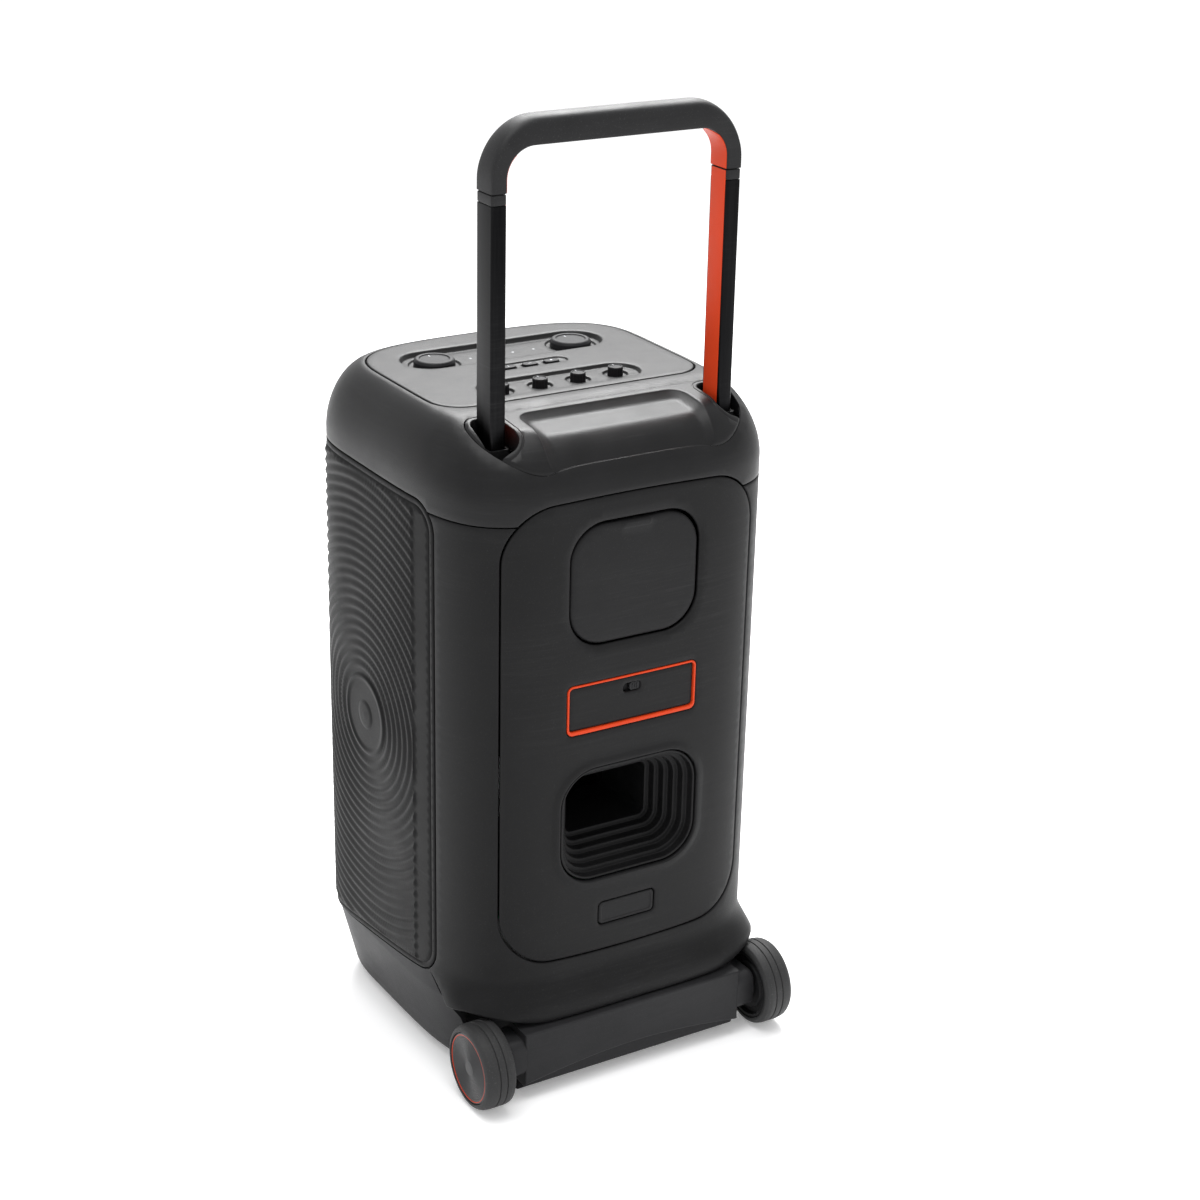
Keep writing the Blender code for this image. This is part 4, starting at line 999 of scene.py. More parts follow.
def make_control_panel():
    """The control panel, with the dials' and knobs' hollows, the key strip and its holes."""
    dials = densify(centred_rect(0.101, 0.0265, 0.0264, (0.0, DIAL_Y - 0.002), 20), 0.004)
    knobs = densify(centred_rect(0.080, 0.0215, 0.0214, (0.0, KNOB_Y + 0.001), 18), 0.004)
    strip = densify(centred_rect(0.038, 0.0085, 0.0084, (0.0, KEY_Y), 12), 0.003)
    dips = [(dials, sunk(0.0045, 1.8)), (knobs, sunk(0.0032, 1.6)), (strip, sunk(0.0015))]
    for side in (1, -1):
        dips.append((circle((side * DIAL_X, DIAL_Y), 0.0236, 64), sunk(0.0018)))
    for x in KNOB_PLACES:
        dips.append((circle((x, KNOB_Y), 0.0112, 44), sunk(0.0022, 0.8)))
    holes = [centred_rect(0.0078, 0.0048, 0.0047, (x, KEY_Y), 8) for x in KEY_PLACES]
    outline = shift(control_outline(0.0), 0.0004)
    mesh = relief("control_panel_skin", outline, level_roof, step=0.005, edge=0.0012, depth=0.0098,
                  holes=holes, dips=dips)
    place_piece("control_panel_skin", mesh, "cabinet", "cap", ["control_panel"])


PLATE_DEPTH, UNDERSIDE_Z = 0.05, 0.5965
SCOOP_DEPTH = 0.0058
SCOOP = densify(rounded_rect((-0.082, 0.0760), (0.082, 0.1440), 0.014, 10), 0.004)
SCOOP_WALL = ((-0.0012, 0.0), (-0.0005, 0.04), (0.0, 0.12), (0.0010, 0.24), (0.0060, 0.74), (0.0085, 0.94),
              (0.0110, 1.0))


def plate_place(spots, fall):
    """Places on the handle plate: the roof with the hand scoop let into it."""
    top = roof_height(spots[:, 0], spots[:, 1])
    distances, shares = zip(*SCOOP_WALL)
    share = np.interp(inside_depth(spots, SCOOP), distances, shares)
    scooped = top - SCOOP_DEPTH * share
    fall = np.asarray(fall)
    under = np.minimum(top - WALL, UNDERSIDE_Z)
    height = np.where(fall >= PLATE_DEPTH - 1e-9, under, scooped - fall)
    return np.stack((spots[:, 0], spots[:, 1], height), axis=1)


def tube_hole(side, grow=0.0):
    centre = (side * TUBE_X, TUBE_Y + 0.0064)
    return densify(centred_rect(0.0140 + grow, 0.0235 + grow, 0.010 + grow, centre, 10), 0.003)


def make_handle_plate():
    """The plate round the tubes, with a fine collar line round each tube's opening."""
    guides = [(SCOOP, [(distance, 0.0) for distance, _ in SCOOP_WALL])]
    collar = [(-0.0005, 0.0), (0.0, 0.0005), (0.0006, 0.0005), (0.0011, 0.0)]
    dips = guides + [(tube_hole(side, 0.0042), collar) for side in (1, -1)]
    mesh = relief("handle_plate_skin", shift(plate_outline(0.0), 0.0002), plate_place, step=0.0035,
                  edge=0.0012, depth=PLATE_DEPTH, holes=[tube_hole(side) for side in (1, -1)], dips=dips)
    place_piece("handle_plate_skin", mesh, "cabinet", "cap", ["handle_plate"])


make_top_cap()
make_control_panel()
make_handle_plate()


# ---- turned, pressed and swept pieces ----
def soften(points, radius, closed=True, steps=4):
    """The same outline with every corner rounded by a short curve."""
    result = []
    count = len(points)
    for i, point in enumerate(points):
        if not closed and i in (0, count - 1):
            result.append(tuple(point))
            continue
        corner = Vector(point)
        before, after = Vector(points[i - 1]) - corner, Vector(points[(i + 1) % count]) - corner
        cut = min(radius, 0.45 * before.length, 0.45 * after.length)
        start, end = corner + before.normalized() * cut, corner + after.normalized() * cut
        for step in range(steps + 1):
            share = step / steps
            spot = start * (1 - share) ** 2 + corner * (2 * share * (1 - share)) + end * share ** 2
            result.append(tuple(spot))
    return result


TURNS = {
    "Z": lambda across, up, height: (across, up, height),
    "X": lambda across, up, height: (height, across, up),
    "-X": lambda across, up, height: (-height, across, up),
    "-Y": lambda across, up, height: (across, -height, up),
}


def lathe(name, profile, axis, centre, segments=96, closed=True):
    """A turned mesh. A profile that isn't closed starts and ends on its axis."""
    points, faces = [], []
    count = len(profile)
    for step in range(segments):
        turn = math.tau * step / segments
        for radius, height in profile:
            spot = TURNS[axis](radius * math.cos(turn), radius * math.sin(turn), height)
            points.append(tuple(a + b for a, b in zip(spot, centre)))
    rows = range(count if closed else count - 1)
    for step in range(segments):
        here, there = step * count, (step + 1) % segments * count
        faces += [(here + i, there + i, there + (i + 1) % count, here + (i + 1) % count) for i in rows]
    return to_mesh(name, points, faces)


def skin_rings(name, rings, closed=False, angle=32.0):
    """A mesh over a row of rings: capped at both ends, or joined back to its start."""
    size = len(rings[0])
    points = [point for ring in rings for point in ring]
    faces = []
    pairs = len(rings) if closed else len(rings) - 1
    for row in range(pairs):
        here, there = row * size, (row + 1) % len(rings) * size
        faces += [(here + i, here + (i + 1) % size, there + (i + 1) % size, there + i) for i in range(size)]
    if not closed:
        faces += [tuple(range(size)), tuple(range(len(points) - size, len(points)))]
    return to_mesh(name, points, faces, angle)


AXES = {
    "XY": lambda across, up, out: (across, up, out),
    "XZ": lambda across, up, out: (across, out, up),
    "YZ": lambda across, up, out: (out, across, up),
}


BEVEL_STEPS = 4


def block(name, outline, plane, low, high, bevel=0.0006):
    """A flat outline given thickness from LOW to HIGH, with rounded edges at both faces."""
    rings = []
    turns = [math.pi / 2 * step / BEVEL_STEPS for step in range(BEVEL_STEPS + 1)]
    ends = [(1 - math.sin(turn), low + bevel * (1 - math.cos(turn))) for turn in turns]
    ends += [(1 - math.sin(turn), high - bevel * (1 - math.cos(turn))) for turn in turns[::-1]]
    for share, out in ends:
        ring = shift(outline, bevel * share)
        rings.append([AXES[plane](across, up, out) for across, up in ring.tolist()])
    return skin_rings(name, rings)


def cut(mesh, cutter, operation="DIFFERENCE"):
    """Cut, join or intersect one mesh with another and return the result."""
    pair = []
    for item in (mesh, cutter):
        holder = bpy.data.objects.new(item.name, item)
        bpy.context.scene.collection.objects.link(holder)
        pair.append(holder)
    work = pair[0].modifiers.new("Cut", "BOOLEAN")
    work.operation, work.object = operation, pair[1]
    graph = bpy.context.evaluated_depsgraph_get()
    made = bpy.data.meshes.new_from_object(pair[0].evaluated_get(graph))
    for holder in pair:
        bpy.data.objects.remove(holder)
    smooth_mesh(made)
    return made


# ---- doors, battery and port ----
def sunk_casing(base):
    return lambda spots, fall: casing(spots, np.asarray(fall) + base)


def make_doors():
    """The socket door with its finger tab, and the small mains inlet door."""
    outline = densify(rounded_rect((-0.0638, 0.4247), (0.0638, 0.5345), 0.0335, 18))
    tab = densify(centred_rect(0.0150, 0.0030, 0.0028, (0.0, 0.5300), 8), 0.002)
    raised = [(-0.0012, 0.0), (0.0, -0.0006), (0.0014, -0.0012)]
    mesh = relief("socket_door", as_walk(outline), sunk_casing(0.0018), step=0.006, edge=0.0030, depth=0.0054,
                  dips=[(as_walk(tab), raised)])
    place_piece("socket_door", mesh, "io_door", "door_rubber", ["io_door"])
    outline = densify(rounded_rect((-0.0292, 0.1480), (0.0292, 0.1700), 0.0044, 8), 0.003)
    field = densify(rounded_rect((-0.0262, 0.1508), (0.0262, 0.1672), 0.0030, 8), 0.003)
    mesh = relief("mains_door", as_walk(outline), sunk_casing(0.0006), step=0.004, edge=0.0012, depth=0.0044,
                  dips=[(as_walk(field), sunk(0.0005, 0.7))])
    place_piece("mains_door", mesh, "inlet_door", "door_rubber", ["inlet_door"])


def make_battery():
    """The orange surround, the battery's door with its latch slot, and the latch."""
    outer = densify(rounded_rect((-0.0658, 0.3432), (0.0658, 0.3900), 0.0056, 8), 0.003)
    inner = densify(rounded_rect((-0.0640, 0.3464), (0.0640, 0.3882), 0.0040, 8), 0.003)
    mesh = relief("battery_surround", as_walk(outer), sunk_casing(-0.0002), step=0.004, edge=0.0006,
                  depth=0.0120, holes=[as_walk(inner)])
    place_piece("battery_surround", mesh, "cabinet", "orange_trim", ["battery_frame"])
    door = densify(rounded_rect((-0.0634, 0.3470), (0.0634, 0.3876), 0.0036, 8), 0.003)
    slot = densify(centred_rect(0.0090, 0.0042, 0.0036, (0.0, 0.3772), 8), 0.002)
    mesh = relief("battery_door_skin", as_walk(door), sunk_casing(0.0016), step=0.005, edge=0.0012,
                  depth=0.0052, holes=[as_walk(slot)])
    place_piece("battery_door_skin", mesh, "battery", "shell", ["battery_door"])
    low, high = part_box("battery_latch")
    middle = ((low.x + high.x) / 2, (low.z + high.z) / 2)
    pad = soften(centred_rect((high.x - low.x) / 2, (high.z - low.z) / 2, 0.0024, middle, 8), 0.0002)
    latch = block("latch_pad", pad, "XZ", low.y, high.y, 0.0005)
    for offset in (-0.0022, 0.0, 0.0022):
        rib = centred_rect(0.0004, 0.0026, 0.00035, (middle[0] + offset, middle[1]), 4)
        latch = cut(latch, block("latch_rib", rib, "XZ", high.y - 0.0006, high.y + 0.0006, 0.0003), "UNION")
    place_piece("latch_pad", latch, "battery_latch", "base", ["battery_latch"])
    low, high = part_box("battery_pack")
    case = rounded_rect((low.x, low.z), (high.x, high.z), 0.003, 5)
    mesh = block("battery_case", case, "XZ", low.y, high.y, 0.0015)
    place_piece("battery_case", mesh, "battery", "battery_case", ["battery_pack"])


def port_ring(shrink, y):
    """The port's section, drawn in by SHRINK."""
    half_x, half_z, radius, middle_z = 0.0674, 0.0524, 0.0320, 0.252
    ring = centred_rect(half_x - shrink, half_z - shrink, max(radius - shrink, 0.004), (0.0, middle_z), 16)
    return [(x, y, z) for x, z in ring]


def make_bass_port():
    """The port's bell: rounded steps down to a straight duct."""
    mouth_y, tread, rise, steps, lean = 0.1436, 0.0052, 0.0080, 5, 0.0006
    duct_y, wall = 0.0302, 0.0024
    inside = []
    for step in range(steps):
        shrink, y = tread * step, mouth_y - rise * step
        inside += [(shrink, y), (shrink + lean, y - rise)]
    throat, throat_y = tread * steps, mouth_y - rise * steps
    inside += [(throat, throat_y), (throat, duct_y)]
    outside = [(throat - wall, duct_y), (throat - wall, throat_y - wall), (-wall, throat_y + 2 * rise),
               (-wall, mouth_y)]
    profile = soften(inside + outside, 0.0010, steps=4)
    rings = [port_ring(shrink, y) for shrink, y in profile]
    mesh = skin_rings("bass_port_bell", rings, closed=True, angle=50.0)
    place_piece("bass_port_bell", mesh, "cabinet", "shell", ["bass_port"])


# ---- handle ----
def make_tubes():
    """The tubes with their orange inner faces and top collars."""
    low_z, joint_z, band = 0.5352, 0.8138, 0.0085
    inner, outer = TUBE_X - TUBE_HALF_X, TUBE_X + TUBE_HALF_X
    front, rear = TUBE_Y - TUBE_HALF_Y, TUBE_Y + TUBE_HALF_Y
    for name, side in (("left", 1), ("right", -1)):
        wide = sorted((side * (inner + 0.0003), side * outer))
        outline = rounded_rect((wide[0], front), (wide[1], rear), 0.0022, 6)
        mesh = block(f"tube_{name}", outline, "XY", low_z, joint_z - band - 0.0004, 0.0004)
        place_piece(f"tube_{name}", mesh, "handle", "tube", [f"handle_tube_{name}"])
        outline = rounded_rect((wide[0], front), (wide[1], rear), 0.0026, 6)
        mesh = block(f"tube_collar_{name}", outline, "XY", joint_z - band, joint_z, 0.0008)
        place_piece(f"tube_collar_{name}", mesh, "handle", "grip")
        thin = sorted((side * inner, side * (inner + 0.0011)))
        outline = rounded_rect((thin[0], front + 0.0024), (thin[1], rear - 0.0024), 0.0003, 4)
        mesh = block(f"tube_face_{name}", outline, "XY", low_z, joint_z - 0.0006, 0.0003)
        place_piece(f"tube_face_{name}", mesh, "handle", "orange_trim", [f"tube_trim_{name}"])


GRIP_LOW_Z, BAR_LOW_Z, BAR_HIGH_Z, GRIP_TOP_Z = 0.8144, 0.851, 0.868, 0.8748
INNER_TURN, OUTER_TURN = 0.026, 0.045


def grip_stations():
    """Inner and outer points and crown height, from the left leg over the bar to the right."""
    inner_x, outer_x = TUBE_X - TUBE_HALF_X, TUBE_X + TUBE_HALF_X
    low_crown, high_crown = 0.0004, GRIP_TOP_Z - BAR_HIGH_Z
    stations = []
    for share in (0.0, 0.05, 0.15, 0.4, 0.7):
        inner_z = GRIP_LOW_Z + (BAR_LOW_Z - INNER_TURN - GRIP_LOW_Z) * share
        outer_z = GRIP_LOW_Z + (BAR_HIGH_Z - OUTER_TURN - GRIP_LOW_Z) * share
        stations.append(((inner_x, inner_z), (outer_x, outer_z), low_crown))
    steps = 24
    inner_arc = arc((inner_x - INNER_TURN, BAR_LOW_Z - INNER_TURN), INNER_TURN, 0, 90, steps)
    outer_arc = arc((outer_x - OUTER_TURN, BAR_HIGH_Z - OUTER_TURN), OUTER_TURN, 0, 90, steps)
    for i, (inner, outer) in enumerate(zip(inner_arc, outer_arc)):
        crown = low_crown + (high_crown - low_crown) * float(smooth_step(i / steps))
        stations.append((inner, outer, crown))
    for share in (0.75, 0.5, 0.25):
        stations.append(((inner_arc[-1][0] * share, BAR_LOW_Z), (outer_arc[-1][0] * share, BAR_HIGH_Z),
                         high_crown))
    middle = [((0.0, BAR_LOW_Z), (0.0, BAR_HIGH_Z), high_crown)]
    return stations + middle + [((-a[0], a[1]), (-b[0], b[1]), c) for a, b, c in stations[::-1]]


def grip_ring(inner, outer, crown, shrink=0.0):
    """A section of the grip: a flat inner face, crisp side creases and a crowned outer face."""
    inner, outer = Vector(inner), Vector(outer)
    across = (outer - inner).normalized()
    depth = (outer - inner).length - shrink
    half = TUBE_HALF_Y - shrink
    crease = depth - 0.0004
    corners = [(crease, -half), (shrink, -half), (shrink, half), (crease, half)]
    profile = soften(corners, 0.0020, closed=False, steps=5)
    for i in range(1, 20):
        angle = math.pi * i / 20
        bulge = (crown + 0.0004) * math.sin(angle) ** 0.8
        profile.append((crease + bulge, (half - 0.0006) * math.cos(angle)))
    return [(inner.x + across.x * reach, TUBE_Y + y, inner.y + across.y * reach) for reach, y in profile]


def make_grip():
    """The bar with its corners, and the orange liners inside its legs."""
    stations = grip_stations()
    rings = [grip_ring(*stations[0], shrink=0.0008)]
    rings += [grip_ring(*station) for station in stations[1:-1]]
    rings.append(grip_ring(*stations[-1], shrink=0.0008))
    mesh = skin_rings("grip_bar", rings, angle=38.0)
    place_piece("grip_bar", mesh, "handle", "grip", ["handle_grip"])
    legs = stations[1:24]
    for name, side in (("left", 1), ("right", -1)):
        rings = []
        for index, (inner, outer, _) in enumerate(legs):
            across = (Vector(outer) - Vector(inner)).normalized()
            fade = min(1.0, (len(legs) - index) / 6)
            half = (TUBE_HALF_Y - 0.0014) * fade
            section = rounded_rect((-0.0005, -half), (0.0008, half), 0.0003, 3)
            rings.append([(side * (inner[0] + across.x * reach), TUBE_Y + y, inner[1] + across.y * reach)
                          for reach, y in section])
        mesh = skin_rings(f"grip_liner_{name}", rings, angle=38.0)
        place_piece(f"grip_liner_{name}", mesh, "handle", "orange_trim")


# ---- wheels and base ----
HUB_RIDGES, HUB_PITCH = 15, 0.00148


def make_wheels():
    """Tyres with grooved treads, rims, and ridged hub caps with a thin orange ring."""
    radius, rim, width = 0.0395, 0.0330, WHEEL_WIDTH
    tyre = [(rim, 0.0), (rim, -width), (radius - 0.0040, -width), (radius - 0.0010, -width + 0.0022),
            (radius, -width + 0.0060)]
    for groove in (-width + 0.0100, -0.0130):
        tyre += [(radius, groove), (radius - 0.0010, groove + 0.0003), (radius - 0.0010, groove + 0.0009),
                 (radius, groove + 0.0012)]
    tyre += [(radius, -0.0090), (radius - 0.0008, -0.0040), (radius - 0.0028, -0.0010),
             (radius - 0.0050, 0.0)]
    disc = [(rim - 0.0004, -0.0046), (rim - 0.0004, -width + 0.0010), (0.0296, -width + 0.0008),
            (0.0284, -width + 0.0045), (0.0240, -width + 0.0045), (0.0228, -width + 0.0020),
            (0.0140, -width + 0.0020), (0.0130, -width + 0.0002), (0.0038, -width + 0.0002),
            (0.0038, -0.0046)]
    cap = [(0.0, -0.0041), (rim - 0.0004, -0.0041), (rim - 0.0004, -0.0011), (0.0312, -0.0004),
           (0.0306, -0.0010)]
    for ridge in range(HUB_RIDGES):
        outer = 0.0288 - HUB_PITCH * ridge
        cap += [(outer, -0.0012), (outer - HUB_PITCH * 0.25, -0.0007), (outer - HUB_PITCH * 0.5, -0.0012)]
    cap += [(0.0060, -0.0012), (0.0040, -0.0009), (0.0, -0.0009)]
    ring = [(0.0311, -0.0014), (0.0311, -0.0005), (0.0306, -0.0005), (0.0306, -0.0014)]
    for name, side in (("left", 1), ("right", -1)):
        axis = "X" if side > 0 else "-X"
        centre = (side * WHEEL_OUTER_X, AXLE_Y, AXLE_Z)
        body = f"wheel_{name}"
        mesh = lathe(f"tyre_ring_{name}", soften(tyre, 0.0009), axis, centre, 112)
        place_piece(f"tyre_ring_{name}", mesh, body, "tyre", [f"tyre_{name}"])
        mesh = lathe(f"wheel_disc_{name}", soften(disc, 0.0005), axis, centre, 80)
        place_piece(f"wheel_disc_{name}", mesh, body, "wheel", [f"wheel_{name}"])
        face = soften(cap, 0.0002, closed=False, steps=2)
        mesh = lathe(f"hub_face_{name}", face, axis, centre, 88, closed=False)
        place_piece(f"hub_face_{name}", mesh, body, "hub_cap", [f"hub_cap_{name}"])
        mesh = lathe(f"hub_ring_{name}", soften(ring, 0.0001, steps=2), axis, centre, 88)
        place_piece(f"hub_ring_{name}", mesh, body, "orange_trim")
    reach = WHEEL_OUTER_X - 0.008
    rod = soften([(0.0, -reach), (0.0035, -reach), (0.0035, reach), (0.0, reach)], 0.0006, closed=False)
    place_piece("axle_bar", lathe("axle_bar", rod, "X", (0.0, AXLE_Y, AXLE_Z), 40, closed=False), "cabinet",
                "axle", ["axle_rod"])


def base_ring(z, inset):
    walks = np.linspace(-HALF_WALK, HALF_WALK, 321)[:-1]
    across = np.sign(walks) * np.interp(np.abs(walks), WALK, ACROSS)
    along = np.interp(np.abs(walks), WALK, ALONG)
    x, y = across * (HALF_WIDTH - inset), MID_Y + along * (plan_reach(along) - inset)
    return [(a, b, z) for a, b in zip(x.tolist(), y.tolist())]


def make_base():
    """The tray the body stands in, and the axle block behind it."""
    lean, top_z, low_z = 0.235, 0.1000, 0.0045

    def inset(z):
        turn_under = 0.0050 * max(0.0, (0.016 - z) / (0.016 - low_z)) ** 2
        return 0.0012 + lean * max(0.0, 0.082 - z) + turn_under

    heights = [0.0996, 0.090, 0.083, 0.081, 0.079, 0.060, 0.035, 0.016, 0.012, 0.009, 0.0065, 0.0050, low_z]
    rings = [base_ring(top_z, 0.0020)] + [base_ring(z, inset(z)) for z in heights]
    floor_z = low_z + WALL
    inner = [base_ring(z, inset(z) + WALL) for z in (floor_z, 0.020, 0.078, top_z)]
    tray = skin_rings("base_pan", inner + rings)
    side = [(-0.2400, -0.010), (0.1000, -0.010), (0.1000, 0.0620), (0.0660, top_z + 0.002),
            (-0.2400, top_z + 0.002)]
    tray = cut(tray, block("base_side", soften(side, 0.003), "YZ", -0.22, 0.22, 0.0004), "INTERSECT")
    for low, high in ((0.100, 0.200), (-0.200, -0.100)):
        tray = cut(tray, block("panel_room", side_outline(0.0005), "YZ", low, high, 0.0001))
    front = rounded_rect((-0.1468, 0.0892), (0.1468, 0.5528), 0.020, 10)
    tray = cut(tray, block("grille_room", front, "XZ", -0.250, -0.080, 0.0001))
    room = rounded_rect((-0.1156, -0.010), (0.1156, 0.120), 0.001, 2)
    tray = cut(tray, block("block_room", room, "XZ", 0.0955, 0.2000, 0.0001))
    tray = cut_wheel_wells(tray)
    place_piece("base_pan", tray, "cabinet", "base", ["base_tray"])
    make_axle_block()
    low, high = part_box("foot_rail")
    rail = rounded_rect((low.y, low.z), (high.y, high.z), 0.0042, 8)
    place_piece("rubber_rail", block("rubber_rail", rail, "YZ", low.x, high.x, 0.0020), "cabinet",
                "foot_rubber", ["foot_rail"])
    for name in ("left", "right"):
        low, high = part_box(f"front_foot_{name}")
        radius = (high.x - low.x) / 2
        pad = soften([(0.0, high.z), (radius, high.z), (radius, low.z), (radius - 0.003, low.z),
                      (radius - 0.0045, low.z + 0.0008), (0.0, low.z + 0.0008)], 0.0007, closed=False)
        centre = ((low.x + high.x) / 2, (low.y + high.y) / 2, 0.0)
        mesh = lathe(f"foot_pad_{name}", pad, "Z", centre, 64, closed=False)
        place_piece(f"foot_pad_{name}", mesh, "cabinet", "foot_rubber", [f"front_foot_{name}"])


def cut_wheel_wells(mesh):
    for side in (1, -1):
        well = circle((AXLE_Y, AXLE_Z), 0.0484, 96)
        span = sorted((side * 0.1290, side * 0.2000))
        mesh = cut(mesh, block("wheel_well", well, "YZ", *span, 0.0005))
    return mesh


def make_axle_block():
    """The block between the wheels, with an arched lower edge, a set-back fascia and axle bosses."""
    _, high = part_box("axle_block")
    half, low_z, arch, top_z, arch_steps = 0.1150, 0.0165, 0.0110, 0.0688, 20
    shares = [i / arch_steps - 1 for i in range(2 * arch_steps + 1)]
    lower = [(half * share, low_z + arch * math.cos(math.pi / 2 * share)) for share in shares]
    outline = lower + [(half, top_z), (-half, top_z)]
    mesh = block("axle_bracket", outline, "XZ", 0.0962, high.y, 0.0022)
    fascia = rounded_rect((-0.1128, 0.0108), (0.1128, 0.0360), 0.002, 4)
    mesh = cut(mesh, block("fascia", fascia, "XZ", 0.0972, high.y - 0.0062, 0.0012), "UNION")
    boss_end = WHEEL_OUTER_X - WHEEL_WIDTH - 0.0016
    for ends in ((half - 0.006, boss_end), (-boss_end, -half + 0.006)):
        boss = centred_rect(0.0193, 0.0183, 0.0095, (AXLE_Y - 0.001, AXLE_Z + 0.004), 12)
        mesh = cut(mesh, block("boss", boss, "YZ", *ends, 0.0018), "UNION")
    mesh = cut(mesh, block("bore", circle((AXLE_Y, AXLE_Z), 0.0038, 32), "YZ", -0.16, 0.16, 0.0002))
    place_piece("axle_bracket", mesh, "cabinet", "base", ["axle_block"])


make_doors()
make_battery()
make_bass_port()
make_tubes()
make_grip()
make_wheels()
make_base()


# ---- repeated small pieces ----
def make_scatter_tree():
    """Geometry nodes that put one small item on every point of a mesh."""
    tree = bpy.data.node_groups.new("scatter_item", "GeometryNodeTree")
    sockets = {"Geometry": "NodeSocketGeometry", "Item": "NodeSocketObject", "Scale": "NodeSocketFloat",
               "Finish": "NodeSocketMaterial"}
    for name, kind in sockets.items():
        tree.interface.new_socket(name, in_out="INPUT", socket_type=kind)
    tree.interface.new_socket("Geometry", in_out="OUTPUT", socket_type="NodeSocketGeometry")
    entry, leave = tree.nodes.new("NodeGroupInput"), tree.nodes.new("NodeGroupOutput")
    item = tree.nodes.new("GeometryNodeObjectInfo")
    tree.links.new(entry.outputs["Item"], item.inputs["Object"])
    spread_out = tree.nodes.new("GeometryNodeInstanceOnPoints")
    tree.links.new(entry.outputs["Geometry"], spread_out.inputs["Points"])
    tree.links.new(item.outputs["Geometry"], spread_out.inputs["Instance"])
    tree.links.new(entry.outputs["Scale"], spread_out.inputs["Scale"])
    end_tree(tree, spread_out.outputs["Instances"], entry, leave)
    return tree


def bare_mesh(name, points, faces):
    mesh = bpy.data.meshes.new(name)
    mesh.from_pydata(points, [], faces)
    return mesh


def scatter(name, item_mesh, spots, body, slot, finish=None):
    """One piece made of a small item repeated at every spot."""
    item = bpy.data.objects.new(f"{name}_item", item_mesh)
    bpy.context.scene.collection.objects.link(item)
    points = bare_mesh(f"{name}_points", spots, [])
    values = {"Item": item, "Scale": 1.0, "Finish": finish or FINISH[slot]}
    mesh = run_tree(SCATTER_TREE, points, values, name)
    bpy.data.objects.remove(item)
    place_piece(name, mesh, body, slot, finish=finish)


def make_perforation_tree():
    """Geometry nodes that turn a triangle lattice into a thin sheet of six-sided holes."""
    tree = bpy.data.node_groups.new("perforated_sheet", "GeometryNodeTree")
    sockets = {"Geometry": "NodeSocketGeometry", "Opening": "NodeSocketFloat",
               "Thickness": "NodeSocketFloat", "Finish": "NodeSocketMaterial"}
    for name, kind in sockets.items():
        tree.interface.new_socket(name, in_out="INPUT", socket_type=kind)
    tree.interface.new_socket("Geometry", in_out="OUTPUT", socket_type="NodeSocketGeometry")
    entry, leave = tree.nodes.new("NodeGroupInput"), tree.nodes.new("NodeGroupOutput")
    cells = tree.nodes.new("GeometryNodeDualMesh")
    tree.links.new(entry.outputs["Geometry"], cells.inputs["Mesh"])
    copy = tree.nodes.new("GeometryNodeExtrudeMesh")
    copy.inputs["Individual"].default_value = True
    copy.inputs["Offset Scale"].default_value = 0.0
    tree.links.new(cells.outputs["Dual Mesh"], copy.inputs["Mesh"])
    shrink = tree.nodes.new("GeometryNodeScaleElements")
    tree.links.new(copy.outputs["Mesh"], shrink.inputs["Geometry"])
    tree.links.new(copy.outputs["Top"], shrink.inputs["Selection"])
    tree.links.new(entry.outputs["Opening"], shrink.inputs["Scale"])
    opened = tree.nodes.new("GeometryNodeDeleteGeometry")
    opened.domain = "FACE"
    tree.links.new(shrink.outputs["Geometry"], opened.inputs["Geometry"])
    tree.links.new(copy.outputs["Top"], opened.inputs["Selection"])
    raised = tree.nodes.new("GeometryNodeExtrudeMesh")
    raised.inputs["Individual"].default_value = False
    tree.links.new(opened.outputs["Geometry"], raised.inputs["Mesh"])
    tree.links.new(entry.outputs["Thickness"], raised.inputs["Offset Scale"])
    rear = tree.nodes.new("GeometryNodeFlipFaces")
    tree.links.new(opened.outputs["Geometry"], rear.inputs["Mesh"])
    both = tree.nodes.new("GeometryNodeJoinGeometry")
    tree.links.new(raised.outputs["Mesh"], both.inputs["Geometry"])
    tree.links.new(rear.outputs["Mesh"], both.inputs["Geometry"])
    weld = tree.nodes.new("GeometryNodeMergeByDistance")
    weld.inputs["Distance"].default_value = 0.00001
    tree.links.new(both.outputs["Geometry"], weld.inputs["Geometry"])
    end_tree(tree, weld.outputs["Geometry"], entry, leave)
    return tree


# ---- front ----
GRILLE_LOW, GRILLE_HIGH, GRILLE_TURN = (-0.1458, 0.0902), (0.1458, 0.5518), 0.0198
HOLE_PITCH, HOLE_SHARE = 0.0072, 0.76


def front_y(x, inset):
    """The front of the plan at X, drawn in by INSET."""
    ahead = ALONG < 0
    reach = (MID_Y + ALONG * (plan_reach(ALONG) - inset))[ahead][::-1]
    return np.interp(np.abs(x) / (HALF_WIDTH - inset), ACROSS[ahead][::-1], reach)


